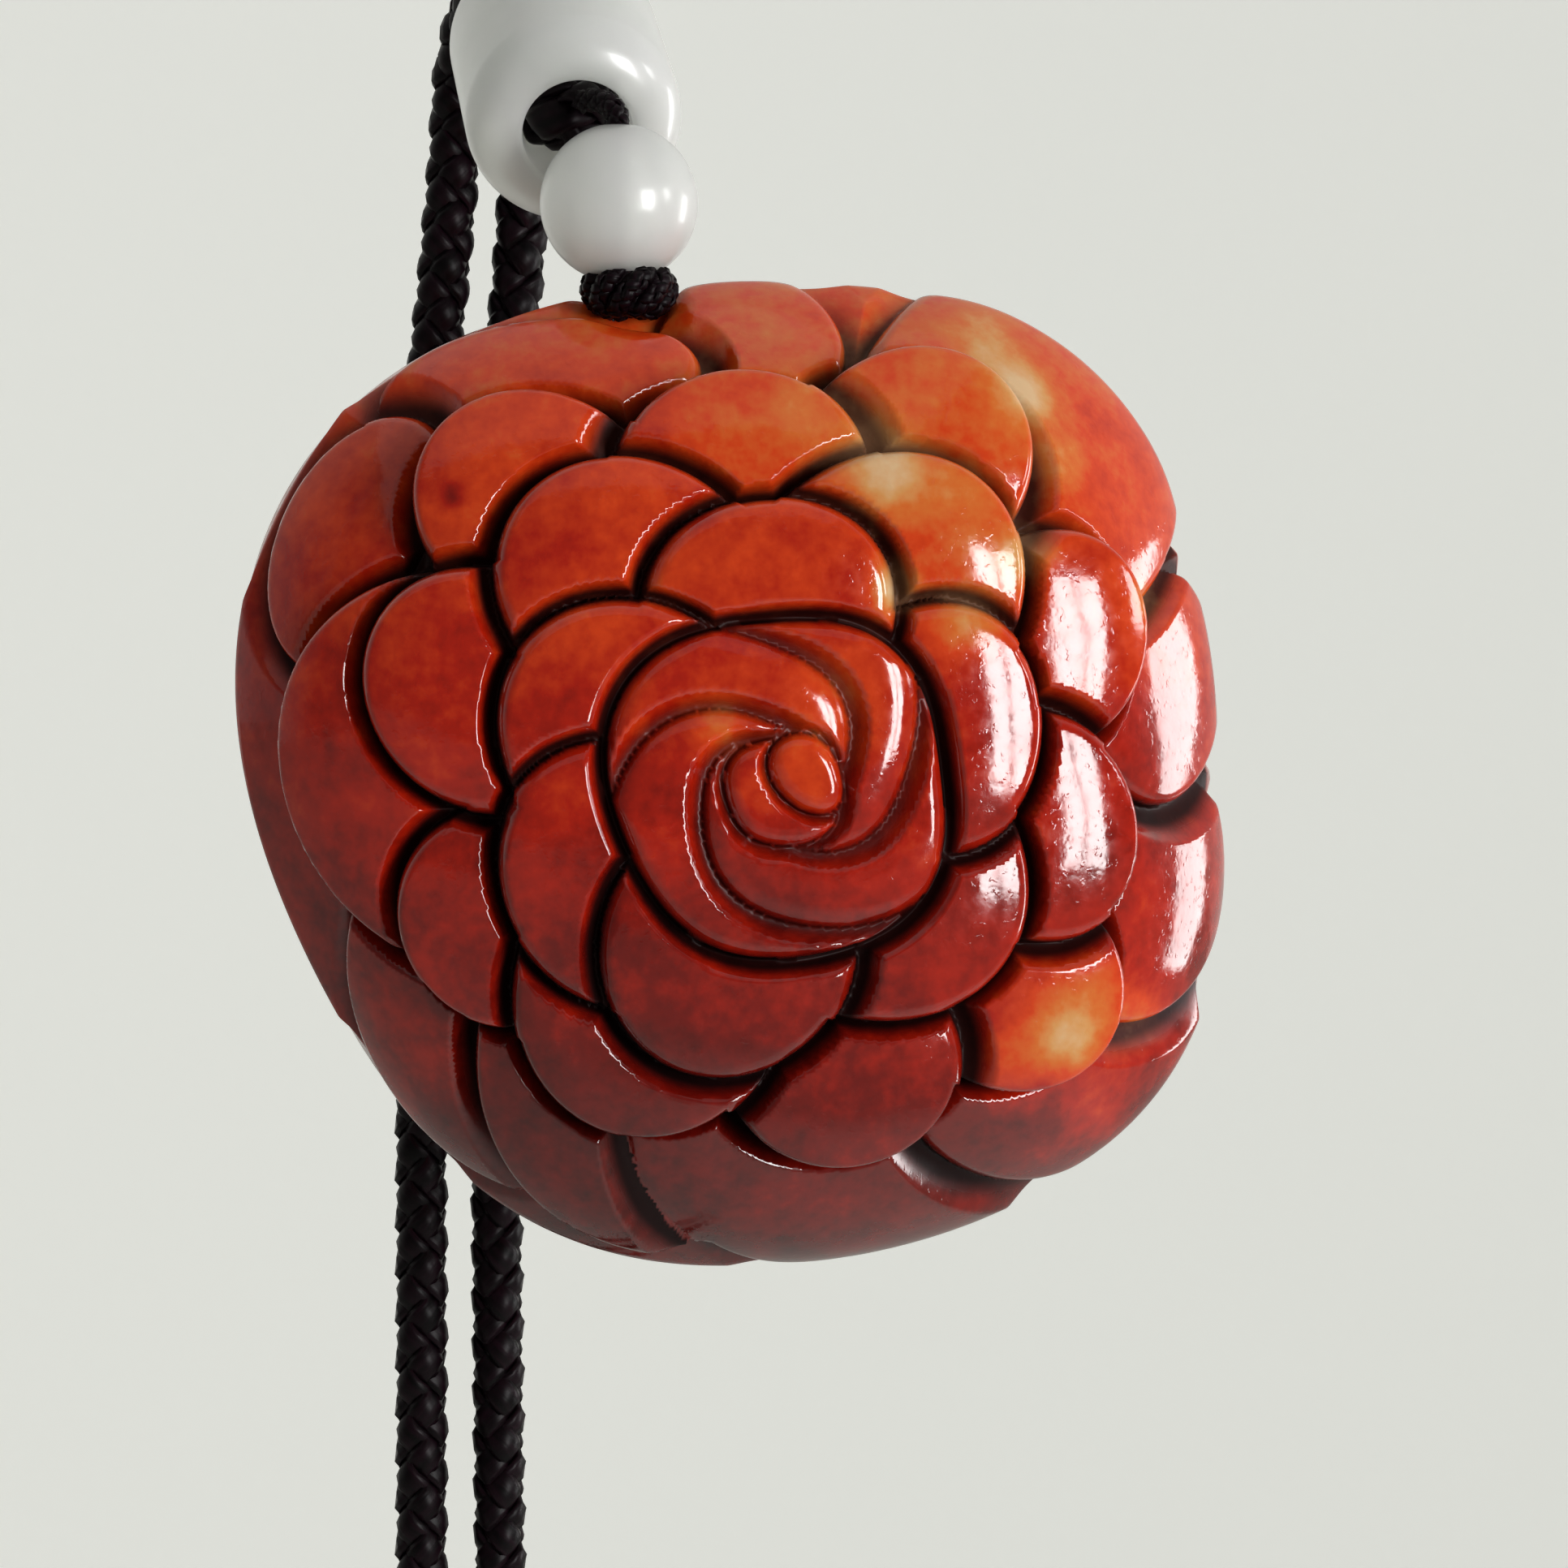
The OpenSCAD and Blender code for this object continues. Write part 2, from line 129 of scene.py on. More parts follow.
# %% The cord's route
CORD_ROUTE = np.array([
    # x, y, z in mm, and 1 where the cord has its full thickness
    [-7.4, 2.1, 28.2, 0], [-7.5, 5.0, 29.8, 0], [-7.6, 7.3, 31.1, 0], [-8.1, 9.6, 32.3, 1],
    [-8.6, 12.0, 33.1, 1], [-9.3, 14.5, 32.4, 1], [-9.8, 16.5, 30.0, 1],
    [-10.0, 17.2, 26.6, 1], [-10.5, 17.2, 21.2, 1], [-11.2, 17.0, 14.0, 1],
    [-11.6, 17.0, 0.0, 1], [-11.8, 17.0, -40.0, 1], [-12.4, 17.0, -100.0, 1],
    [-13.6, 17.0, -160.0, 1], [-15.6, 17.0, -215.0, 1], [-16.9, 17.0, -240.0, 1],
    [-16.2, 17.0, -251.0, 1], [-12.8, 17.0, -257.2, 1], [-7.2, 17.0, -257.2, 1],
    [-3.8, 17.0, -251.0, 1], [-3.1, 17.0, -240.0, 1], [-4.4, 17.0, -215.0, 1],
    [-6.4, 17.0, -160.0, 1], [-7.6, 17.0, -100.0, 1], [-8.2, 17.0, -40.0, 1],
    [-8.3, 17.0, 0.0, 1], [-7.9, 17.0, 14.0, 1], [-7.2, 17.2, 21.2, 1],
    [-6.8, 17.2, 26.6, 1], [-6.5, 16.5, 30.0, 1], [-6.2, 14.5, 32.4, 1],
    [-5.9, 12.0, 33.1, 1], [-5.5, 9.6, 32.3, 1], [-5.5, 7.3, 31.1, 0],
    [-5.4, 5.0, 29.8, 0], [-5.3, 2.1, 28.2, 0]])


def smooth_route(route, steps=40):
    """A smooth curve through each point: the weights of four neighbours are cubics of the way."""
    ends = np.vstack([2 * route[:1] - route[1:2], route, 2 * route[-1:] - route[-2:-1]])
    a, b, c, d = (ends[i:len(ends) - 3 + i, None, :] for i in range(4))
    t = (np.arange(steps) / steps)[None, :, None]
    curve = (2 * b + (c - a) * t + (2 * a - 5 * b + 4 * c - d) * t ** 2
             + (3 * b - a - 3 * c + d) * t ** 3) / 2
    return np.vstack([curve.reshape(-1, route.shape[1]), route[-1:]])


def lengths_along(line):
    """Distance travelled along a line of points at each of them."""
    return np.concatenate([[0], np.cumsum(np.linalg.norm(np.diff(line[:, :3], axis=0), axis=1))])


cord_line = smooth_route(CORD_ROUTE)
cord_length = lengths_along(cord_line)[-1]
print("neck cord", round(cord_length, 1), "mm from the barrel's middle and back to it")


# %% [markdown]
# A round plait has as many strands winding one way as the other. Each strand runs round the
# axis like a screw thread and weaves over and under the strands that wind against it. Real
# strands could be imitated with a bumpy tube, but then the edge of the cord against the light
# would stay straight, so each strand is made as a flat tube of its own.

# %% A round plait of strands
def plait(line, thick, lead, strands, width, depth, stations, sides, aside, widen=1.0):
    """Strands wind round a line: the angle grows with the length travelled, one turn each lead.

    The distance from the axis is a mean plus a cosine of strands times the angle, with the
    opposite sign for the strands that wind the other way, so that each goes over and under.
    The tube round each strand is an ellipse, width along the surface and depth across it.
    aside is a direction that the line never runs along, and widen stretches the plait along it.
    """
    way = lengths_along(line)
    spine = np.stack([np.interp(stations, way, line[:, i]) for i in range(3)], axis=1)
    size = np.interp(stations, way, line[:, 3]) if line.shape[1] > 3 else np.ones(len(stations))
    ahead = unit(np.gradient(spine, stations, axis=0))
    side = unit(np.cross(ahead, aside))
    other = np.cross(ahead, side)
    weave = depth / 2
    mean = thick / 2 - weave - depth / 2
    turn = np.concatenate([2 * np.pi * np.arange(strands) / strands] * 2)
    sense = np.repeat([1, -1], strands)
    angle = sense[:, None] * 2 * np.pi * stations / lead + turn[:, None]
    reach = (mean + weave * sense[:, None] * np.cos(strands * angle)) * size
    out = np.cos(angle)[..., None] * side + np.sin(angle)[..., None] * other * widen
    axis = spine + reach[..., None] * out
    run = unit(np.gradient(axis, axis=1))
    out = unit(out - (out * run).sum(-1, keepdims=True) * run)
    flat = np.cross(run, out)
    round_ = 2 * np.pi * np.arange(sides) / sides
    points = (axis[:, :, None, :]
              + (size[:, None, None] * width / 2 * np.cos(round_)[:, None]) * flat[:, :, None, :]
              + (size[:, None, None] * depth / 2 * np.sin(round_)[:, None]) * out[:, :, None, :])
    count = len(stations)
    index = np.arange(2 * strands * count * sides).reshape(2 * strands, count, sides)
    ahead_ring = index[:, 1:]
    here_ring = index[:, :-1]
    walls = np.stack([here_ring, np.roll(here_ring, -1, 2), np.roll(ahead_ring, -1, 2), ahead_ring],
                     axis=-1).reshape(-1, 4)[:, ::-1]
    ends = np.vstack([index[:, 0], index[:, -1, ::-1]])
    along = np.broadcast_to(stations[None, :, None], index.shape)
    around = np.broadcast_to(np.arange(sides) / sides, index.shape)
    uv = np.stack([along, around], axis=-1).reshape(-1, 2)
    return points.reshape(-1, 3), [walls, ends], uv


def stations_along(length, lead, fine, coarse, fine_reach):
    """Lengths at which the strands get a ring: so many to a turn near both ends, fewer between."""
    near = np.arange(0, fine_reach, lead / fine)
    middle = np.arange(fine_reach, length - fine_reach, lead / coarse)
    return np.concatenate([near, middle, length - near[::-1]])


# %% [markdown]
# The cord is squeezed a little where both runs share the barrel's hole. It gets more rings to
# a turn near its two ends, which the camera sees from close by, than in the long far bend.

# %% The neck cord
CORD_THICK = 2.5
CORD_LEAD = 6.4
CORD_STRANDS = 3
CORD_STRAND_WIDTH = 1.45
CORD_STRAND_DEPTH = 0.62
CORD_RINGS_NEAR = 30
CORD_RINGS_FAR = 18
CORD_NEAR_REACH = 36
CORD_SIDES = 8
CORD_ASIDE = unit(np.array([-1.0, 1, 0]))
SQUEEZE = 0.82
cord_size = SQUEEZE + (1 - SQUEEZE) * np.clip(cord_line[:, 3:], 0, 1)
cord_stations = stations_along(cord_length, CORD_LEAD, CORD_RINGS_NEAR, CORD_RINGS_FAR, CORD_NEAR_REACH)
points, faces, uv = plait(
    np.hstack([cord_line[:, :3], cord_size]), CORD_THICK, CORD_LEAD, CORD_STRANDS,
    CORD_STRAND_WIDTH, CORD_STRAND_DEPTH, cord_stations, CORD_SIDES, CORD_ASIDE)
neck_braid = add_piece("neck_braid", points, faces, "neck_cord", uv)

# %% [markdown]
# The thin thread runs from the fold in the barrel, through the round bead and the knot, down
# the drilled hole and back up behind the flower's edge. It is the same plait on a small scale.

# %% The hanging thread
THREAD_ROUTE = np.array([
    # x, y, z in mm
    [-6.1, -3.1, 26.6], [-5.6, -3.8, 26.6], [-5.0, -4.7, 26.2], [-4.8, -5.0, 25.4],
    [-4.8, -5.0, 24.2], [-4.8, -5.0, 22.0], [-4.8, -5.0, 20.2], [-4.8, -4.9, 19.2],
    [-4.8, -4.5, 18.5], [-4.8, -3.5, 17.4], [-4.8, -1.5, 15.3], [-4.8, 0.1, 13.6],
    [-4.8, 1.0, 13.1], [-4.8, 1.7, 13.6], [-4.8, 1.6, 15.0], [-4.8, 1.0, 16.6],
    [-4.8, 0.0, 18.2], [-4.7, -1.3, 19.3], [-4.6, -2.8, 19.7]])
THREAD_LEAD = 2.4
THREAD_THICK = 1.0
THREAD_STRANDS = 4
THREAD_RINGS = 20
THREAD_SIDES = 6
STRAND_WIDTH_SHARE = 0.5
STRAND_DEPTH_SHARE = 0.2
ACROSS = np.array([1.0, 0, 0])


def thread_plait(line, thick, aside):
    """The fine plait along any line, its strands' width and depth as shares of its thickness."""
    length = lengths_along(line)[-1]
    stations = np.linspace(0, length, int(length / THREAD_LEAD * THREAD_RINGS))
    return plait(line, thick, THREAD_LEAD, THREAD_STRANDS, STRAND_WIDTH_SHARE * thick,
                 STRAND_DEPTH_SHARE * thick, stations, THREAD_SIDES, aside)


points, faces, uv = thread_plait(smooth_route(THREAD_ROUTE), THREAD_THICK, ACROSS)
thread_braid = add_piece("thread_braid", points, faces, "hanging_thread", uv)


# %% [markdown]
# The knot is a button knot: the thread winds round a small ring and through it again and
# again, so that its lumps form a low dome under the bead. A knot on a ring can be drawn with
# one formula, an angle that goes round the ring and a faster one that goes through it. It
# hangs a little lower than the solid, so that it rests on the stone as a soft knot does.

# %% The knot
def box_of(node):
    """Lowest and highest corner of a solid, in mm."""
    low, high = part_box(node)
    return np.array(low) / MM, np.array(high) / MM


knot_low, knot_high = box_of("thread_knot")
knot_middle = (knot_low + knot_high) / 2
KNOT_THREAD = 1.0
KNOT_ROUNDS = 3
KNOT_THROUGH = 8
KNOT_STEPS = 240
KNOT_LUMP = 0.5
KNOT_SKEW = 0.3
KNOT_HANG = 0.8
KNOT_ASIDE = np.array([0.05, 0.02, 1.0])
way_round = np.linspace(0, 2 * np.pi, KNOT_STEPS + 1)
ring_reach = (knot_high[0] - knot_low[0]) / 2 - KNOT_THREAD / 2 - KNOT_LUMP
knot_rise = (knot_high[2] - knot_low[2] + KNOT_HANG - KNOT_THREAD) / 2
through = way_round * KNOT_THROUGH
knot_reach = ring_reach + KNOT_LUMP * np.cos(through)
knot_line = np.stack([
    knot_middle[0] + knot_reach * np.cos(KNOT_ROUNDS * way_round),
    knot_middle[1] + knot_reach * np.sin(KNOT_ROUNDS * way_round),
    knot_middle[2] - KNOT_HANG / 2 + knot_rise * (np.sin(through) + KNOT_SKEW * np.cos(through))],
    axis=1)
points, faces, uv = thread_plait(knot_line, KNOT_THREAD, KNOT_ASIDE)
knot_braid = add_piece("knot_braid", points, faces, "thread_knot", uv)


# %% [markdown]
# In the barrel's front mouth the doubled neck cord turns round. The plait is squeezed flat
# there, so its bend fills the hole.

# %% The fold in the barrel's mouth
BARREL_RISE = math.radians(29.5)
barrel_axis = unit(np.array([-0.03, math.cos(BARREL_RISE), math.sin(BARREL_RISE)]))
barrel_low, barrel_high = box_of("barrel_bead")
barrel_middle = (barrel_low + barrel_high) / 2
BARREL_LENGTH = 11.2
BARREL_BORE_R = 2.2
barrel_mouth = barrel_middle - barrel_axis * BARREL_LENGTH / 2
barrel_side = unit(np.cross(barrel_axis, [0, 0, 1.0]))
barrel_up = np.cross(barrel_side, barrel_axis)
FOLD_THICK = 2.4
FOLD_GAP = 0.1
FOLD_SINK = 0.45
FOLD_RUN = 2.6
FOLD_RUN_START = 0.3
FOLD_RUN_POINTS = 8
FOLD_LEAD = 5.6
FOLD_STRAND_WIDTH = 1.5
FOLD_STRAND_DEPTH = 0.6
FOLD_RINGS = 90
FOLD_WIDEN = 1.55
fold_reach = BARREL_BORE_R - FOLD_GAP - FOLD_THICK / 2
half_turn = np.radians(np.arange(0, 181, 10))
bend = np.stack([fold_reach * np.cos(half_turn),
                 FOLD_SINK + FOLD_THICK / 2 + fold_reach * (1 - np.sin(half_turn))], axis=1)
run_deep = np.stack([
    np.full(FOLD_RUN_POINTS, fold_reach),
    np.linspace(FOLD_RUN + bend[0, 1], bend[0, 1] + FOLD_RUN_START, FOLD_RUN_POINTS)], axis=1)
fold_flat = np.vstack([run_deep, bend, run_deep[::-1] * [-1, 1]])
fold_line = barrel_mouth + fold_flat[:, :1] * barrel_side + fold_flat[:, 1:] * barrel_axis
fold_length = lengths_along(fold_line)[-1]
points, faces, uv = plait(
    fold_line, FOLD_THICK, FOLD_LEAD, CORD_STRANDS, FOLD_STRAND_WIDTH, FOLD_STRAND_DEPTH,
    np.linspace(0, fold_length, FOLD_RINGS), CORD_SIDES, barrel_up, widen=FOLD_WIDEN)
fold_braid = add_piece("fold_braid", points, faces, "cord_fold", uv)


# %% [markdown]
# The two beads are turned: a closed profile goes once round the bead's own axis. Making them
# as a profile keeps the drilled hole and the small rounding at its mouth in one surface. The
# barrel's outer and inner roundings meet in one point at each end, which is kept only once.

# %% The beads
def turned(profile, base, axis, sides):
    """A closed profile of (radius, height) pairs carried once round an axis that leaves base."""
    side = unit(np.cross(axis, ACROSS))
    other = np.cross(axis, side)
    angle = 2 * np.pi * np.arange(sides) / sides
    out = np.cos(angle)[:, None] * side + np.sin(angle)[:, None] * other
    points = base + profile[None, :, :1] * out[:, None, :] + profile[None, :, 1:] * axis
    index = np.arange(sides * len(profile)).reshape(sides, len(profile))
    next_side = np.roll(index, -1, axis=0)
    faces = np.stack([index, next_side, np.roll(next_side, -1, 1), np.roll(index, -1, 1)], -1)
    return points.reshape(-1, 3), [faces.reshape(-1, 4)]


def arc(middle, radius, start, stop, count):
    """Points on a circle between two angles in degrees."""
    angle = np.radians(np.linspace(start, stop, count))
    return np.stack([middle[0] + radius * np.cos(angle), middle[1] + radius * np.sin(angle)], axis=1)


UP = np.array([0, 0, 1.0])
BEAD_SIDES = 128
BORE_R = 0.65
MOUTH_ROUNDING = 0.2
bead_low, bead_high = box_of("round_bead")
bead_middle = (bead_low + bead_high) / 2
bead_r = (bead_high[0] - bead_low[0]) / 2
mouth_angle = math.degrees(math.asin((BORE_R + MOUTH_ROUNDING) / bead_r))
mouth_height = bead_r * math.cos(math.radians(mouth_angle)) - MOUTH_ROUNDING
bead_profile = np.vstack([
    arc((0, 0), bead_r, mouth_angle - 90, 90 - mouth_angle, 72),
    arc((BORE_R + MOUTH_ROUNDING, mouth_height), MOUTH_ROUNDING, 110, 180, 6),
    arc((BORE_R + MOUTH_ROUNDING, -mouth_height), MOUTH_ROUNDING, 180, 250, 6)])
points, faces = turned(bead_profile, bead_middle, UP, BEAD_SIDES)
round_stone = add_piece("round_stone", points, faces, "round_bead")

BARREL_R = 4.35
BARREL_ROUNDING = 1.9
EDGE_ROUNDING = 0.25
barrel_profile = np.vstack([
    arc((BARREL_R - BARREL_ROUNDING, BARREL_ROUNDING), BARREL_ROUNDING, -90, 0, 24),
    arc((BARREL_R - BARREL_ROUNDING, BARREL_LENGTH - BARREL_ROUNDING), BARREL_ROUNDING, 0, 90, 24),
    arc((BARREL_BORE_R + EDGE_ROUNDING, BARREL_LENGTH - EDGE_ROUNDING), EDGE_ROUNDING, 90, 180, 8)[1:],
    arc((BARREL_BORE_R + EDGE_ROUNDING, EDGE_ROUNDING), EDGE_ROUNDING, 180, 270, 8)[:-1]])
points, faces = turned(barrel_profile, barrel_mouth, barrel_axis, BEAD_SIDES)
barrel_stone = add_piece("barrel_stone", points, faces, "barrel_bead")

# %% [markdown]
# The flower is one stone. Its front is a dome, and the petals lie on a flat map that unrolls
# the dome: how far a point is from the middle is measured along the surface. A petal is a
# circle or an ellipse on that map, and the first petal in the table that holds a point owns
# it. Near its own edge a petal rounds down, and beside a covering petal's edge the stone is
# cut away in a groove with a crisp far rim. Towards the top and the bottom of the stone the
# cuts run out, so the outline is calm there. The solid has the same formulas on a coarser net.

# %% The flower's sizes and tables
FLOWER_R = 20.1
FLOWER_T = 14.0
BACK_EDGE_R = 4.0
GROOVE_DEPTH = 0.8
GROOVE_POWER = 1.3
BUD_GROOVE_DEPTH = 0.7
PETAL_ROUND = 0.8
PETAL_CROWN = 0.3
CROWN_RUN = 3.5
LEAN_SHARE = 0.7
LEAN_DEPTH = 2.2
DOME_POWER = 2.3
WAVES = np.array([
    # times round, share of the radius, angle of the first swelling in degrees
    [1, 0.030, 35], [2, 0.027, -45], [3, 0.022, 40], [4, 0.033, 54.5], [5, 0.010, -29]])
PETALS = np.array([
    # across, up, half length, half width, turn in degrees, groove width; lengths are shares of
    # the radius
    [0.069, 0.023, 0.084, 0.062, -45, 0.020],
    [0.023, -0.009, 0.112, 0.104, 0, 0.030],
    [0.014, -0.006, 0.329, 0.329, 0, 0.032],
    [-0.090, -0.318, 0.259, 0.259, 0, 0.038],
    [-0.298, -0.179, 0.268, 0.268, 0, 0.026],
    [-0.255, 0.081, 0.266, 0.266, 0, 0.026],
    [0.000, 0.339, 0.236, 0.236, 0, 0.028],
    [0.323, 0.102, 0.233, 0.233, 0, 0.028],
    [0.198, -0.159, 0.301, 0.301, 0, 0.032],
    [-0.251, 0.394, 0.253, 0.253, 0, 0.038],
    [0.221, 0.371, 0.276, 0.276, 0, 0.038],
    [-0.548, 0.175, 0.239, 0.239, 0, 0.036],
    [-0.247, -0.428, 0.294, 0.294, 0, 0.038],
    [-0.555, -0.284, 0.245, 0.245, 0, 0.034],
    [0.152, -0.556, 0.242, 0.242, 0, 0.052],
    [0.543, -0.076, 0.230, 0.230, 0, 0.040],
    [0.499, -0.397, 0.222, 0.222, 0, 0.045],
    [-0.039, 0.613, 0.262, 0.262, 0, 0.065],
    [0.306, 0.655, 0.253, 0.253, 0, 0.075],
    [-0.438, 0.560, 0.245, 0.245, 0, 0.060],
    [0.595, 0.276, 0.224, 0.224, 0, 0.045],
    [-0.624, -0.006, 0.427, 0.427, 0, 0.055],
    [-0.871, 0.522, 0.313, 0.180, 60, 0.080],
    [-0.473, 0.886, 0.378, 0.190, 18, 0.080],
    [0.000, 1.045, 0.244, 0.244, 0, 0.080],
    [0.677, 0.776, 0.453, 0.453, 0, 0.080],
    [0.995, 0.224, 0.299, 0.299, 0, 0.080],
    [0.896, -0.199, 0.358, 0.358, 0, 0.080],
    [0.746, -0.522, 0.463, 0.463, 0, 0.080],
    [0.314, -0.686, 0.600, 0.600, 0, 0.055],
    [-0.160, -0.612, 0.488, 0.488, 0, 0.060],
    [-0.530, -0.510, 0.500, 0.500, 0, 0.055]])
BUD = 1
SWIRL = 2
LEAVES = np.array([
    # angle at the outer ring, angle at the bud, in degrees
    [331, 103], [403, 275], [470, 356], [541, 432]])
LEAF_POWER = 0.7
LEAF_WAY_MIN = 0.03
LOBE_ROUND_SHARE = 0.8
LEAF_ROUND_SHARE = 1.9
LEAF_GROOVE_SHARE = 1.0
RUN_OUT_FROM = 1.0
RUN_OUT_SHARE = 0.75
SEAT_AT = np.array([-0.27, 1.17])
SEAT_SHARE = 0.16
SEAT_DEPTH = 0.75

# %% The dome's profile
DOME_STEPS = 600
fine_way = np.linspace(0, 1, DOME_STEPS + 1)
step_middle = np.radians(90 * ((fine_way[1:] + fine_way[:-1]) / 2) ** DOME_POWER)
profile_out = np.concatenate([[0], np.cumsum(np.cos(step_middle))]) / DOME_STEPS
profile_down = np.concatenate([[0], np.cumsum(np.sin(step_middle))]) / DOME_STEPS
RIM_REACH = 1 / profile_out[-1]
EDGE_REACH = np.pi / 2 * BACK_EDGE_R / FLOWER_R
print("the dome is", round(RIM_REACH * FLOWER_R, 2), "mm from the middle to the rim along its surface")


# %% [markdown]
# The carving is a height over the dome. Each formula below works on all points at once: the
# distances to all petals are one array with a row for each petal.

# %% The carving's height
def edge_distances(p):
    """For each petal and point the signed distance to the petal's edge in mm, negative inside.

    With the point's place in the ellipse's own axes divided by its half sizes, its length k is
    1 on the edge, and k (k - 1) over the gradient's length is close to the distance.
    """
    turn = np.radians(PETALS[:, 4, None])
    dx = p[None, :, 0] - PETALS[:, 0, None]
    dz = p[None, :, 1] - PETALS[:, 1, None]
    a = (dx * np.cos(turn) + dz * np.sin(turn)) / PETALS[:, 2, None]
    b = (dz * np.cos(turn) - dx * np.sin(turn)) / PETALS[:, 3, None]
    k = np.hypot(a, b)
    g = np.maximum(np.hypot(a / PETALS[:, 2, None], b / PETALS[:, 3, None]), 0.001)
    return FLOWER_R * k * (k - 1) / g


def owners(d):
    """Which petals hold each point, and the first of them in the table, or one past the last."""
    inside = d <= 0
    return inside, np.where(inside.any(0), inside.argmax(0), len(PETALS))


def leaning(p):
    """How far each petal, and last the bare dome, has sunk at each point in mm, a row for each.

    The fall per mm is a share of the sine of the dome's slope at the petal's own middle, so a
    petal lies flatter than the dome. It starts at the petal's outermost reach, goes towards
    the flower's middle and levels out like a hyperbolic tangent.
    """
    middle = np.append(np.hypot(*PETALS[:, :2].T), RIM_REACH)
    outermost = np.minimum(middle + np.append(PETALS[:, 3], 0), RIM_REACH)
    fall = LEAN_SHARE * np.sin(np.pi / 2 * np.minimum(middle / RIM_REACH, 1) ** DOME_POWER)
    fall[:SWIRL + 1] = 0
    way_in = np.clip(outermost[:, None] - np.hypot(*p.T), 0, None)
    return -LEAN_DEPTH * np.tanh(fall[:, None] * FLOWER_R * way_in / LEAN_DEPTH)


def rounded(e, depth, run):
    """A free edge: a quarter of an ellipse from the groove's floor up to the petal."""
    return -depth * (1 - np.sqrt(1 - (1 - np.clip(e / run, 0, 1)) ** 2))


def grooved(d, depth, width):
    """A groove beside an edge: one minus the squared share of the width, to a power for a crisp rim."""
    return -depth * np.clip(1 - (d / width) ** 2, 0, None) ** GROOVE_POWER


def leaf_edges(p):
    """Distances in mm from the nearest leaf edge on its inner and outer side.

    On the way out from the bud to the outer ring the angle of a leaf's edge grows with a
    power of the way, so the leaves wind up more tightly near the bud. The way starts at a
    small share, because the power's own slope has no limit at nothing.
    """
    dx, dz = (p - PETALS[BUD, :2]).T
    r = np.maximum(np.hypot(dx, dz), 0.001)
    inner = PETALS[BUD, 3]
    span = PETALS[SWIRL, 2] - inner
    swept = (LEAVES[:, 0] - LEAVES[:, 1])[:, None]
    way = np.clip((r - inner) / span, LEAF_WAY_MIN, None)
    turns = (np.degrees(np.arctan2(dz, dx)) - LEAVES[:, 1:] - swept * way ** LEAF_POWER) % 360
    steep = r * np.radians(swept) / span * LEAF_POWER * way ** (LEAF_POWER - 1)
    pitch = np.cos(np.arctan(steep)) * FLOWER_R * r * np.pi / 180
    return (turns * pitch).min(0), ((360 - turns) * pitch).min(0)


def carving(p):
    """Height over the dome in mm, the depth of the cut alone, and the number of the owner."""
    d = edge_distances(p)
    rank = np.arange(len(PETALS))[:, None]
    inside, own = owners(d)
    covered = inside & (rank > own)
    below = np.where(covered.any(0), covered.argmax(0), len(PETALS))
    leans = leaning(p)
    here = np.arange(len(p))
    lean = leans[own, here]
    depth = np.where(rank <= BUD, BUD_GROOVE_DEPTH, GROOVE_DEPTH)
    run = np.where(rank <= BUD, LOBE_ROUND_SHARE * PETAL_ROUND, PETAL_ROUND)
    deep = np.maximum(depth, lean - leans[:-1])
    cuts = np.where(rank < own, grooved(d, deep, PETALS[:, 5:] * FLOWER_R), 0)
    cut = cuts.min(0)
    mine = np.minimum(own, len(PETALS) - 1)
    e = -d[mine, here]
    owned = own < len(PETALS)
    step = np.maximum(depth[mine, 0] + lean - leans[below, here], 0)
    edge = np.where(owned, rounded(e, step, run[mine, 0]), 0)
    inner, outer = leaf_edges(p)
    leaf = np.where(own == SWIRL, np.minimum(
        rounded(inner, BUD_GROOVE_DEPTH, LEAF_ROUND_SHARE * PETAL_ROUND),
        grooved(outer, BUD_GROOVE_DEPTH, LEAF_GROOVE_SHARE * PETAL_ROUND)), 0)
    crown = np.where(owned & (own > SWIRL),
                     PETAL_CROWN * (1 - (1 - np.clip(e / CROWN_RUN, 0, 1)) ** 2), 0)
    off_seat = np.linalg.norm(p - SEAT_AT, axis=1) / SEAT_SHARE
    seat = SEAT_DEPTH * np.clip(1 - off_seat ** 2, 0, None) ** 2
    u = np.maximum(np.hypot(*p.T), 0.001)
    run_out = np.clip((u - RUN_OUT_FROM) / (RIM_REACH - RUN_OUT_FROM), 0, 1) * (p[:, 1] / u) ** 2
    carved = np.minimum(np.minimum(edge, cut), leaf) * (1 - RUN_OUT_SHARE * run_out)
    return lean + crown * np.maximum(1 + cut / GROOVE_DEPTH, 0) + carved - seat, carved, own


def outline_share(angle):
    """The mean radius swells by a share, a whole number of times round, as a sum of cosines."""
    phase = np.radians(WAVES[:, 2, None])
    return 1 + (WAVES[:, 1, None] * np.cos(WAVES[:, 0, None] * (angle - phase))).sum(0)


# %% [markdown]
# The net has eight more points in each ring than in the ring inside it, so its triangles keep
# one size from the middle to the rim. A crisp rim would still look sawn where it crosses
# triangles, so every point that lies close to a groove's floor or rim is moved onto it.

# %% The flower's net
FRONT_RINGS = 150
BACK_RINGS = 6
SNAP_SHARE = 0.4
SLOPE_STEP = 0.01
NORMAL_STEP = 0.1
RINGS = FRONT_RINGS + BACK_RINGS


def ring_start(k):
    """Number of the first point in a ring: one for the middle and eight for each ring's step."""
    return np.where(k == 0, 0, 1 + 4 * k * (k - 1))


def ring_point(k, j):
    """Number of the point in place j of ring k, counted round and round."""
    return np.where(k == 0, 0, ring_start(k) + j % np.maximum(8 * k, 1))


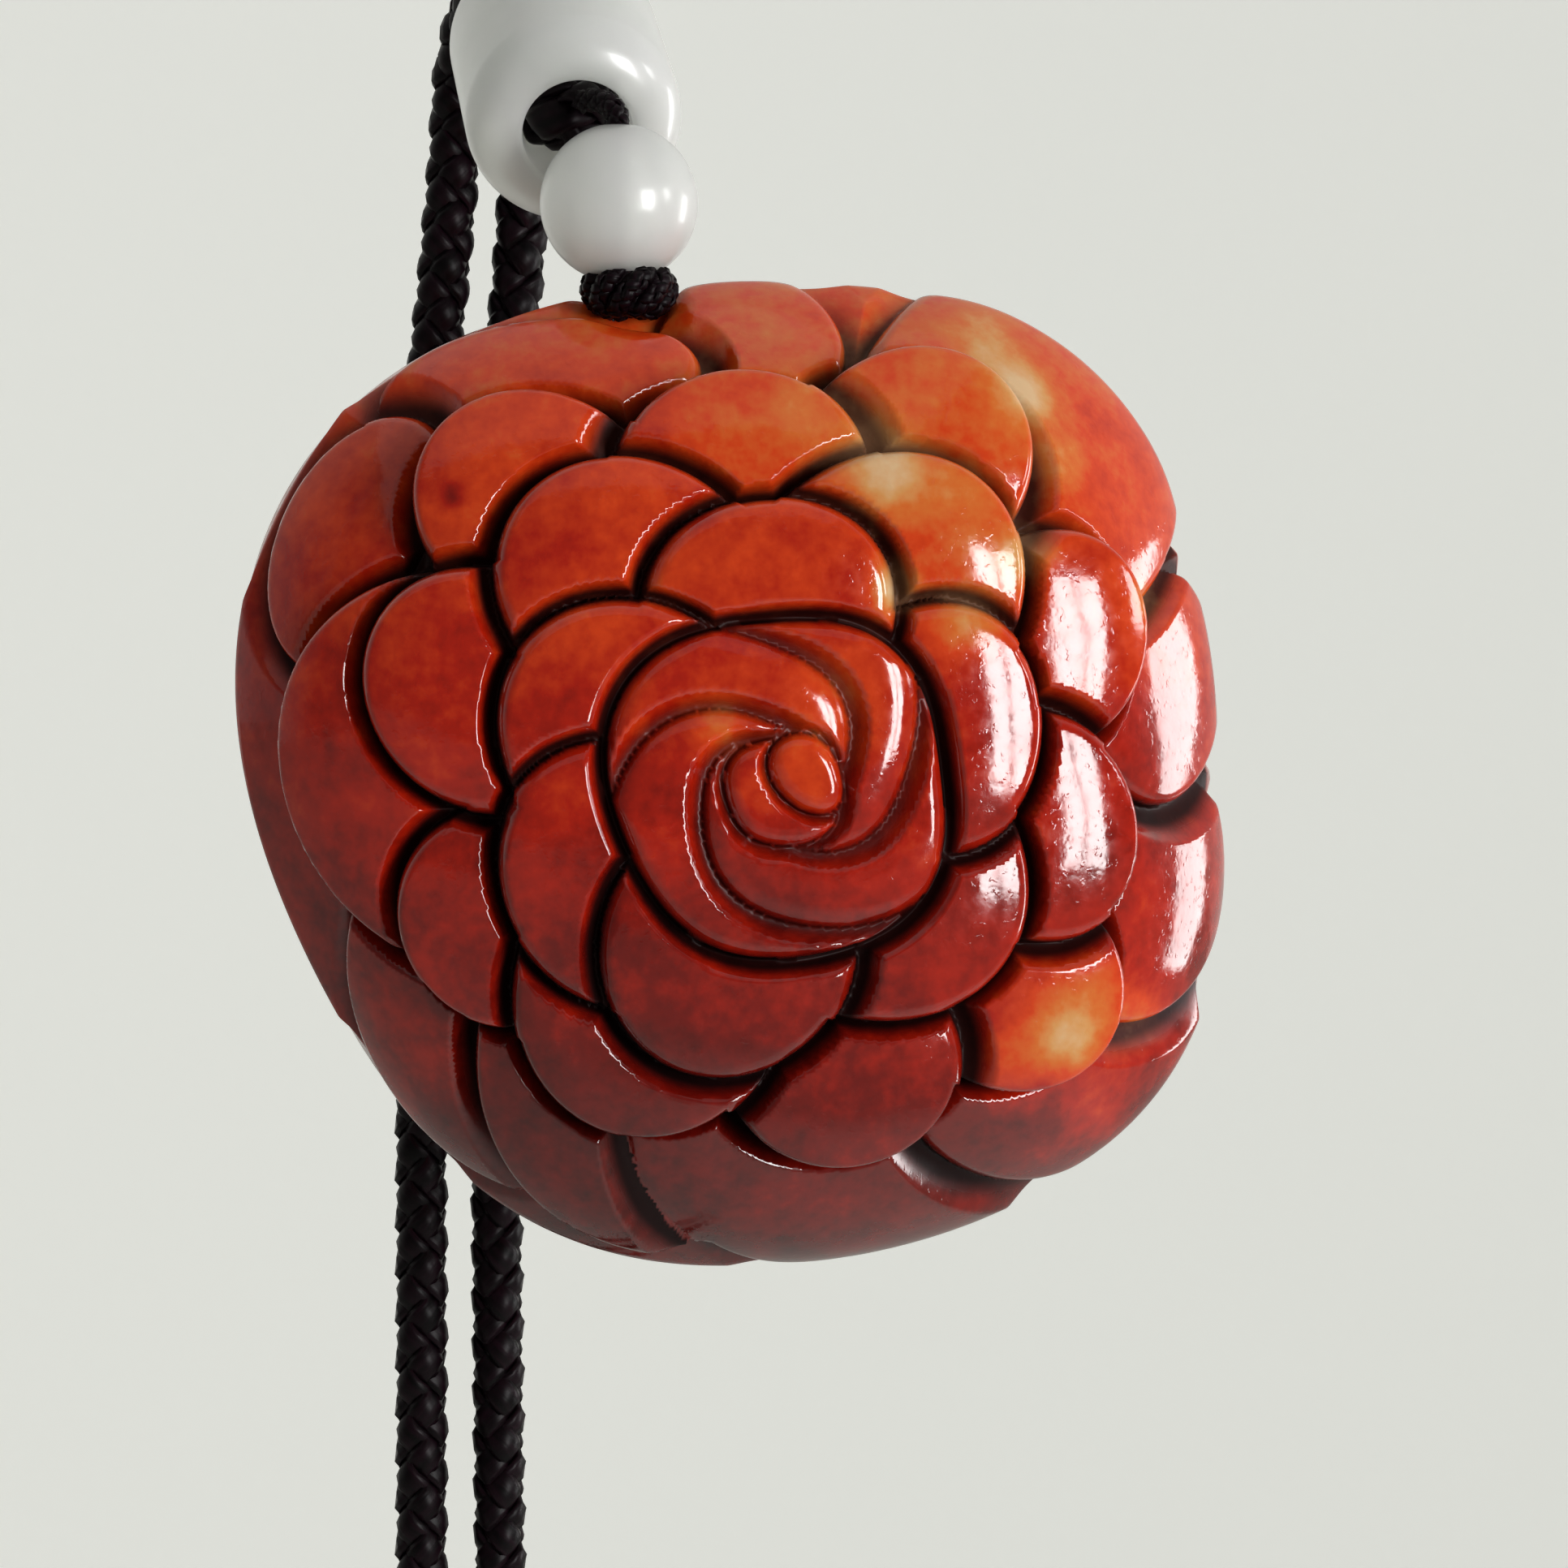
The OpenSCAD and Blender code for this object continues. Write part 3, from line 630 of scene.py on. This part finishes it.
def net_faces(rings):
    """Each eighth of a ring has k gaps inside and k + 1 outside, joined by two kinds of triangle."""
    ring = np.arange(rings)
    outward = np.repeat(ring, 8 * (ring + 1))
    place = np.arange(len(outward)) - 4 * outward * (outward + 1)
    eighth, i = place // (outward + 1), place % (outward + 1)
    first = np.stack([ring_point(outward, eighth * outward + i),
                      ring_point(outward + 1, eighth * (outward + 1) + i + 1),
                      ring_point(outward + 1, eighth * (outward + 1) + i)], axis=1)
    inward = np.repeat(ring[1:], 8 * ring[1:])
    place = np.arange(len(inward)) - 4 * inward * (inward - 1)
    eighth, i = place // inward, place % inward
    second = np.stack([ring_point(inward, eighth * inward + i),
                       ring_point(inward, eighth * inward + i + 1),
                       ring_point(inward + 1, eighth * (inward + 1) + i + 1)], axis=1)
    return np.vstack([first, second])


def leaf_offset(p):
    """Signed distance in mm to the nearest leaf edge of the swirl."""
    inner, outer = leaf_edges(p)
    return np.where(inner < outer, inner, -outer)


def snapped_to_leaves(p, pitch):
    """Moves points of the swirl onto a near leaf edge, down the slope of the distance to it.

    Halfway between two edges the distance changes sign with a jump. The slope is far too
    steep there, and such a point stays where it is.
    """
    off = leaf_offset(p)
    nudge = SLOPE_STEP / FLOWER_R
    slope = np.stack([leaf_offset(p + step) - leaf_offset(p - step)
                      for step in ([nudge, 0], [0, nudge])], axis=1) / (2 * nudge)
    steep = (slope ** 2).sum(1)
    close = np.abs(off) < SNAP_SHARE * pitch
    near = (carving(p)[2] == SWIRL) & close & (steep < (2 * FLOWER_R) ** 2)
    return p - np.where(near, off / np.maximum(steep, 1), 0)[:, None] * slope


def snapped(p, pitch):
    """Moves each point that is within a share of a pitch of a groove's floor or rim onto it.

    The way to the edge is the gradient of the ellipse's own distance, of unit length.
    """
    d = edge_distances(p)
    rank = np.arange(len(PETALS))[:, None]
    own = owners(d)[1]
    floor = np.where(rank <= own, d, np.inf)
    rim = np.where(rank < own, d - PETALS[:, 5:] * FLOWER_R, np.inf)
    both = np.concatenate([floor, rim])
    nearest = np.abs(both).argmin(0)
    off = both[nearest, np.arange(len(p))]
    petal = nearest % len(PETALS)
    turn = np.radians(PETALS[petal, 4])
    dx, dz = (p - PETALS[petal, :2]).T
    a = (dx * np.cos(turn) + dz * np.sin(turn)) / PETALS[petal, 2] ** 2
    b = (dz * np.cos(turn) - dx * np.sin(turn)) / PETALS[petal, 3] ** 2
    way = unit(np.stack([a * np.cos(turn) - b * np.sin(turn),
                         a * np.sin(turn) + b * np.cos(turn)], axis=1))
    shift = np.where(np.abs(off) < SNAP_SHARE * pitch, off, 0) / FLOWER_R
    return p - shift[:, None] * way


ring_of = np.repeat(np.arange(RINGS + 1), np.maximum(8 * np.arange(RINGS + 1), 1))
place_in_ring = np.arange(len(ring_of)) - ring_start(ring_of)
angle = np.radians(45 * place_in_ring / np.maximum(ring_of, 1))
reach = np.where(ring_of <= FRONT_RINGS, RIM_REACH * ring_of / FRONT_RINGS,
                 RIM_REACH + EDGE_REACH * (ring_of - FRONT_RINGS) / BACK_RINGS)
flower_map = np.stack([reach * np.cos(angle), reach * np.sin(angle)], axis=1)
front = ring_of < FRONT_RINGS
pitch = RIM_REACH * FLOWER_R / FRONT_RINGS
flower_map[front] = snapped(snapped_to_leaves(flower_map[front], pitch), pitch)
print("net of", len(flower_map), "points, one each", round(pitch, 3), "mm")


# %% The flower's surface
def flower_points(p):
    """Puts map points on the stone: out and down by the dome's profile, then along the normal."""
    u = np.hypot(*p.T)
    angle = np.arctan2(p[:, 1], p[:, 0])
    way = np.clip(u / RIM_REACH, 0, 1)
    turn = np.clip((u - RIM_REACH) / EDGE_REACH, 0, 1) * np.pi / 2
    tilt = np.pi / 2 * way ** DOME_POWER + turn
    out = np.interp(way, fine_way, profile_out) / profile_out[-1]
    down = np.interp(way, fine_way, profile_down) / profile_down[-1]
    r = outline_share(angle) * FLOWER_R * out - BACK_EDGE_R * (1 - np.cos(turn))
    y = -BACK_EDGE_R * (1 - np.sin(turn)) - (FLOWER_T - BACK_EDGE_R) * (1 - down)
    height, carved, own = carving(p)
    height = height * np.cos(turn)
    r = r + height * np.sin(tilt)
    return np.stack([r * np.cos(angle), y - height * np.cos(tilt), r * np.sin(angle)], 1), carved, own


def flower_normals(p, step):
    """Normals from points a step away on both sides, so that they are as smooth as the step is wide."""
    nudge = step / FLOWER_R
    across = flower_points(p + [nudge, 0])[0] - flower_points(p - [nudge, 0])[0]
    up = flower_points(p + [0, nudge])[0] - flower_points(p - [0, nudge])[0]
    return unit(np.cross(across, up))


flower_xyz, carved_depth, petal_of = flower_points(flower_map)
flower_normal = flower_normals(flower_map, NORMAL_STEP)
hub = len(flower_xyz)
last_ring = np.arange(8 * RINGS)
back_fan = np.stack([ring_point(RINGS, last_ring), ring_point(RINGS, last_ring + 1),
                     np.full(8 * RINGS, hub)], axis=1)
flower_xyz = np.vstack([flower_xyz, [0, 0, 0]])
carved_depth = np.append(carved_depth, 0)
flower_faces = np.vstack([net_faces(RINGS), back_fan])[:, ::-1]
carved_flower = add_piece("carved_flower", flower_xyz, [flower_faces], "flower_pendant")
carved_flower.data.normals_split_custom_set_from_vertices(
    np.vstack([flower_normal, [0, 1.0, 0]]).tolist())


# %% [markdown]
# A colour in a program is usually written as a hex value for a screen. Shaders want linear
# light, so one function turns one into the other. A second one adds a node to a material and
# wires it up, and every material below is a short list of such nodes. A socket that has no
# name of its own, as in a mix or a sum, is called by its number.

# %% Colours and nodes
def linear(hex_colour):
    """Turns an sRGB hex colour into linear light, with an alpha of one."""
    channels = [int(hex_colour[i:i + 2], 16) / 255 for i in (1, 3, 5)]
    return [c / 12.92 if c <= 0.04045 else ((c + 0.055) / 1.055) ** 2.4 for c in channels] + [1.0]


def add_node(owner, kind, settings, links):
    """Adds a node, sets its properties and sockets by name or number, and links outputs to sockets."""
    node = owner.node_tree.nodes.new(kind)
    for key, value in settings.items():
        if isinstance(key, int) or key in node.inputs:
            node.inputs[key].default_value = value
        else:
            setattr(node, key, value)
    for key, output in links.items():
        owner.node_tree.links.new(output, node.inputs[key])
    return node


def new_material(name):
    """A material with an empty node tree."""
    material = bpy.data.materials.new(name)
    material.use_nodes = True
    material.node_tree.nodes.clear()
    return material


def shade(ramp, stops):
    """Gives a ColorRamp node its stops, each a place from 0 to 1 and a hex colour."""
    elements = ramp.color_ramp.elements
    elements[0].position, elements[0].color = stops[0][0], linear(stops[0][1])
    elements[1].position, elements[1].color = stops[-1][0], linear(stops[-1][1])
    for place, hex_colour in stops[1:-1]:
        elements.new(place).color = linear(hex_colour)


def dress(piece, material):
    """Gives a piece its one material."""
    piece.data.materials.clear()
    piece.data.materials.append(material)


# %% [markdown]
# The flower is jade cut from the skin of a boulder, where iron has stained the stone. The
# staining is deepest at the lower left, turns to orange towards the top right and leaves a few
# cream places. How pale the stone is drawn follows one slow slope and some soft round places,
# so it is worked out with numpy and stored on the points. The slope up is partly the staining
# and partly painted shade that darkens the lower petals. One soft place is a painted
# reflection on the lower left rim, and one is painted shade on a lower leaf of the swirl.
# The fine clouding comes later from noise.

# %% The staining in the stone, with painted shade and a painted reflection
STAIN_MIDDLE = 0.22
STAIN_ACROSS = 0.001
# Paler towards the top: partly the staining, partly painted shade on the lower petals.
STAIN_AND_SHADE_UP = 0.0105
PLACES = np.array([
    # x, z, reach in mm, and by how much the stone is paler there
    [10.8, 15.0, 1.3, 0.42], [9.7, 17.0, 1.4, 0.24], [4.5, 11.8, 1.6, 0.36], [7.0, 10.6, 2.2, 0.17],
    [9.7, 8.8, 1.2, 0.34], [4.7, 7.4, 0.9, 0.42], [7.6, 6.4, 1.3, 0.30], [6.6, 15.0, 3.0, 0.05],
    [12.2, 12.4, 1.3, 0.18], [15.5, 6.9, 1.2, 0.24], [12.2, -9.8, 1.6, 0.34], [9.2, -11.0, 1.4, 0.14],
    [13.3, -7.6, 1.3, 0.18], [15.6, -9.8, 1.6, 0.26], [14.4, -13.4, 1.5, 0.18], [-1.8, 2.4, 1.1, 0.22],
    [2.4, 3.4, 1.4, 0.13], [1.2, 14.0, 3.0, 0.09], [-7.8, 10.6, 3.0, -0.02], [-11.7, 10.9, 0.45, -0.22],
    [1.0, 0.8, 1.6, 0.15], [-4.0, 6.0, 3.0, 0.05], [15.4, 1.0, 2.4, -0.08], [-6.5, -13.0, 5.0, -0.04],
    # At -14.4, -10.8 a painted reflection on the lower left rim, at -0.5, -4.3 painted shade on a swirl
    # leaf.
    [11.0, -9.3, 2.6, 0.26], [-14.4, -10.8, 3.0, 0.07], [-2.8, -8.5, 3.5, -0.03], [-0.5, -4.3, 1.6, -0.07]])


def stain_and_painted_light(points):
    """How pale the stone is drawn: a slope across and up, partly painted shade, plus a bell round each
    place.
    """
    x, z = points[:, 0], points[:, 2]
    off = np.hypot(x - PLACES[:, 0, None], z - PLACES[:, 1, None]) / PLACES[:, 2, None]
    return (STAIN_MIDDLE + STAIN_ACROSS * x + STAIN_AND_SHADE_UP * z
            + (PLACES[:, 3, None] * np.exp(-off ** 2)).sum(0))


def store(piece, name, values):
    """Keeps one number for each point of a mesh under a name that a material can read."""
    layer = piece.data.attributes.new(name, "FLOAT", "POINT")
    layer.data.foreach_set("value", values.astype(np.float32))


# In the bud and the swirl the cuts' dark wax and painted shade take a smaller share of the depth.
LEAF_CUT_SHARE = 0.65
wax_and_shade_share = np.where(np.append(petal_of, len(PETALS)) <= SWIRL, LEAF_CUT_SHARE, 1)
cut_share = -carved_depth / GROOVE_DEPTH * wax_and_shade_share
store(carved_flower, "paleness", stain_and_painted_light(flower_xyz))
store(carved_flower, "cut", cut_share)
print("paleness from", round(stain_and_painted_light(flower_xyz).min(), 2), "to", round(stain_and_painted_light(flower_xyz).max(), 2))

# %% [markdown]
# Russet jade, ground with wheels and polished. Polished jade has an index of about 1.62 and
# reflects a window sharply, with specks where a harder grain stands out. The bottoms of the
# cuts can't be reached by the polishing wheel: they stay rough, hold dark wax and shine little.
# Their dark colour is that wax together with painted shade, darker where the cut is deeper.
# A little light goes into the stone and comes out again beside the place, so its shadows are
# soft. The colour is the stored paleness plus a share of the clouds and of the fine grain.

# %% Russet jade
CLOUD_MM = 2.4
GRAIN_MM = 0.6
SPECK_MM = 0.28
CLOUD_WEIGHT = 0.34
GRAIN_WEIGHT = 0.10
jade = new_material("polished_russet_jade")
place = add_node(jade, "ShaderNodeTexCoord", {}, {})
paleness = add_node(jade, "ShaderNodeAttribute", {"attribute_name": "paleness"}, {})
cut = add_node(jade, "ShaderNodeAttribute", {"attribute_name": "cut"}, {})
clouds = add_node(jade, "ShaderNodeTexNoise",
                  {"Scale": 1 / (CLOUD_MM * MM), "Detail": 4.0, "Roughness": 0.6},
                  {"Vector": place.outputs["Object"]})
grain = add_node(jade, "ShaderNodeTexNoise", {"Scale": 1 / (GRAIN_MM * MM), "Detail": 3.0},
                 {"Vector": place.outputs["Object"]})
specks = add_node(jade, "ShaderNodeTexNoise", {"Scale": 1 / (SPECK_MM * MM), "Detail": 2.0},
                  {"Vector": place.outputs["Object"]})
clouded = add_node(jade, "ShaderNodeMath", {"operation": "MULTIPLY_ADD", 1: CLOUD_WEIGHT},
                   {0: clouds.outputs["Fac"], 2: paleness.outputs["Fac"]})
grained = add_node(jade, "ShaderNodeMath", {"operation": "MULTIPLY_ADD", 1: GRAIN_WEIGHT},
                   {0: grain.outputs["Fac"], 2: clouded.outputs["Value"]})
stone = add_node(jade, "ShaderNodeValToRGB", {}, {"Fac": grained.outputs["Value"]})
shade(stone, [(0.16, "#3a0603"), (0.32, "#6a0d06"), (0.46, "#9e1907"), (0.60, "#c23a10"),
              (0.74, "#c46428"), (0.86, "#c48a50"), (1.0, "#c9a67c")])
# Dark wax and painted shade in the cuts, mixed in by the depth of the cut.
wax_and_shade = add_node(jade, "ShaderNodeValToRGB", {}, {"Fac": grained.outputs["Value"]})
shade(wax_and_shade, [(0.30, "#120303"), (0.50, "#260705"), (0.62, "#3c150c"), (0.80, "#6a4a34")])
in_cut = add_node(jade, "ShaderNodeMapRange",
                  {"interpolation_type": "SMOOTHSTEP", "From Min": 0.12, "From Max": 0.75},
                  {"Value": cut.outputs["Fac"]})
colour = add_node(jade, "ShaderNodeMix", {"data_type": "RGBA"},
                  {0: in_cut.outputs["Result"], 6: stone.outputs["Color"], 7: wax_and_shade.outputs["Color"]})
polish = add_node(jade, "ShaderNodeMapRange",
                  {"From Min": 0.35, "From Max": 0.75, "To Min": 0.07, "To Max": 0.16},
                  {"Value": grain.outputs["Fac"]})
roughness = add_node(jade, "ShaderNodeMix", {3: 0.45},
                     {0: in_cut.outputs["Result"], 2: polish.outputs["Result"]})
shine = add_node(jade, "ShaderNodeMapRange", {"To Min": 0.36, "To Max": 0.08},
                 {"Value": in_cut.outputs["Result"]})
standing = add_node(jade, "ShaderNodeMapRange", {"From Min": 0.60, "From Max": 0.72},
                    {"Value": specks.outputs["Fac"]})
speckled = add_node(jade, "ShaderNodeBump", {"Strength": 0.35, "Distance": 0.01 * MM},
                    {"Height": standing.outputs["Result"]})
waved = add_node(jade, "ShaderNodeBump", {"Strength": 0.5, "Distance": 0.05 * MM},
                 {"Height": clouds.outputs["Fac"], "Normal": speckled.outputs["Normal"]})
surface = add_node(jade, "ShaderNodeBsdfPrincipled",
                   {"IOR": 1.62, "Subsurface Weight": 0.1,
                    "Subsurface Radius": (1.0, 0.25, 0.12), "Subsurface Scale": 0.8 * MM},
                   {"Base Color": colour.outputs[2], "Roughness": roughness.outputs[0],
                    "Specular IOR Level": shine.outputs["Result"],
                    "Normal": waved.outputs["Normal"]})
add_node(jade, "ShaderNodeOutputMaterial", {}, {"Surface": surface.outputs["BSDF"]})
dress(carved_flower, jade)

# %% [markdown]
# Both beads are milky quartz-like stone. Light goes far into it, so a bead has hardly any
# shadow side, and the drilled hole shows as a faint band. The polish is a thin clear shine
# over a cloudy body: that is a coat over a rough, partly transmitting base.

# %% Milky stone
HAZE_MM = 3.0
milky = new_material("milky_stone")
place = add_node(milky, "ShaderNodeTexCoord", {}, {})
haze = add_node(milky, "ShaderNodeTexNoise", {"Scale": 1 / (HAZE_MM * MM), "Detail": 2.0},
                {"Vector": place.outputs["Object"]})
body = add_node(milky, "ShaderNodeValToRGB", {}, {"Fac": haze.outputs["Fac"]})
shade(body, [(0.3, "#eff4ec"), (0.7, "#f8faf3")])
surface = add_node(milky, "ShaderNodeBsdfPrincipled",
                   {"IOR": 1.54, "Roughness": 0.3, "Specular IOR Level": 0.35, "Transmission Weight": 0.45,
                    "Subsurface Weight": 1.0, "Subsurface Radius": (1.0, 1.0, 1.0),
                    "Subsurface Scale": 6 * MM, "Coat Weight": 0.3, "Coat Roughness": 0.06,
                    "Coat IOR": 1.5}, {"Base Color": body.outputs["Color"]})
add_node(milky, "ShaderNodeOutputMaterial", {}, {"Surface": surface.outputs["BSDF"]})
for piece in (round_stone, barrel_stone):
    dress(piece, milky)

# %% [markdown]
# The cord is plaited from spun polyester dyed a purple so dark that it looks black. Each
# strand is a bundle of fine filaments that run along it, so the strand's own UV map carries
# long thin streaks, and the shine is a short soft glint on each strand.

# %% Plaited cord
FILAMENTS = 9
STREAK_MM = 1.2
cord = new_material("plaited_polyester")
place = add_node(cord, "ShaderNodeTexCoord", {}, {})
along = add_node(cord, "ShaderNodeMapping", {"Scale": (1 / STREAK_MM, FILAMENTS, 1)},
                 {"Vector": place.outputs["UV"]})
filaments = add_node(cord, "ShaderNodeTexNoise", {"Scale": 1.0, "Detail": 2.0},
                     {"Vector": along.outputs["Vector"]})
dye = add_node(cord, "ShaderNodeValToRGB", {}, {"Fac": filaments.outputs["Fac"]})
shade(dye, [(0.35, "#040203"), (0.7, "#14060d")])
twisted = add_node(cord, "ShaderNodeBump", {"Strength": 0.6, "Distance": 0.06 * MM},
                   {"Height": filaments.outputs["Fac"]})
surface = add_node(cord, "ShaderNodeBsdfPrincipled",
                   {"IOR": 1.5, "Roughness": 0.4, "Specular IOR Level": 0.1},
                   {"Base Color": dye.outputs["Color"], "Normal": twisted.outputs["Normal"]})
add_node(cord, "ShaderNodeOutputMaterial", {}, {"Surface": surface.outputs["BSDF"]})
for piece in (neck_braid, thread_braid, knot_braid, fold_braid):
    dress(piece, cord)

# %% [markdown]
# The studio is a pale wall and a pale floor well away from the piece. The room in front of
# the stone is dim, so that its reds stay deep, and the light comes from the wall behind, from
# above and from a window with two panes on the right. The window is seen as a sharp bright
# patch in each petal that faces it, and two smaller panes further round show in the rims.

# %% Stage
FLOOR_Z = -0.45
WALL_Y = 1.4
WALL_TOP = 3
WIDE = 4
scene = bpy.context.scene
scene.view_settings.view_transform = "Standard"
STAGE = {
    # the corners of a sheet, and how strongly its paint glows as a back-lit sheet does
    "wall": ([(-WIDE, WALL_Y, FLOOR_Z), (WIDE, WALL_Y, FLOOR_Z), (WIDE, WALL_Y, WALL_TOP),
              (-WIDE, WALL_Y, WALL_TOP)], 0.60),
    "floor": ([(-WIDE, -WIDE, FLOOR_Z), (WIDE, -WIDE, FLOOR_Z), (WIDE, WALL_Y, FLOOR_Z),
               (-WIDE, WALL_Y, FLOOR_Z)], 0.0)}
for name, (corners, glow) in STAGE.items():
    paint = new_material("pale_" + name)
    surface = add_node(paint, "ShaderNodeBsdfPrincipled",
                       {"Base Color": linear("#dedfda"), "Roughness": 0.9, "Specular IOR Level": 0.1,
                        "Emission Color": linear("#dedfda"), "Emission Strength": glow}, {})
    add_node(paint, "ShaderNodeOutputMaterial", {}, {"Surface": surface.outputs["BSDF"]})
    sheet = bpy.data.objects.new(name, bpy.data.meshes.new(name))
    sheet.data.from_pydata(corners, [], [(0, 1, 2, 3)])
    bpy.context.collection.objects.link(sheet)
    dress(sheet, paint)


# %% Lights
def area_light(name, azimuth, elevation, distance, width, height, power):
    """A rectangle of light that faces the flower from an azimuth and elevation in degrees."""
    light = bpy.data.lights.new(name, "AREA")
    light.shape = "RECTANGLE"
    light.size = width
    light.size_y = height
    light.energy = power
    lamp = bpy.data.objects.new(name, light)
    a, e = math.radians(azimuth), math.radians(elevation)
    way = Vector((math.sin(a) * math.cos(e), -math.cos(a) * math.cos(e), math.sin(e)))
    lamp.location = way * distance
    lamp.rotation_mode = "QUATERNION"
    lamp.rotation_quaternion = way.to_track_quat("Z", "Y")
    bpy.context.collection.objects.link(lamp)


LIGHTS = {
    # azimuth and elevation in degrees, distance, width and height in metres, power in watts
    "left_pane": (31, 3, 0.6, 0.075, 0.26, 1.4),
    "right_pane": (40.5, 3, 0.6, 0.095, 0.26, 1.75),
    "upper_pane": (68, 12, 0.6, 0.09, 0.12, 0.5),
    "side_pane": (104, -5, 0.6, 0.13, 0.32, 1.2),
    "ceiling": (-15, 70, 2.2, 3.0, 3.0, 8.0)}
for name, row in LIGHTS.items():
    area_light(name, *row)

world = bpy.data.worlds.new("studio")
scene.world = world
world.use_nodes = True
world.node_tree.nodes.clear()
way = add_node(world, "ShaderNodeTexCoord", {}, {})
parts = add_node(world, "ShaderNodeSeparateXYZ", {}, {"Vector": way.outputs["Generated"]})
behind = add_node(world, "ShaderNodeMapRange",
                  {"From Min": -0.35, "From Max": 0.45, "To Min": 0.16, "To Max": 0.8},
                  {"Value": parts.outputs["Y"]})
room = add_node(world, "ShaderNodeBackground", {"Color": linear("#f0efec")},
                {"Strength": behind.outputs["Result"]})
add_node(world, "ShaderNodeOutputWorld", {}, {"Surface": room.outputs["Background"]})
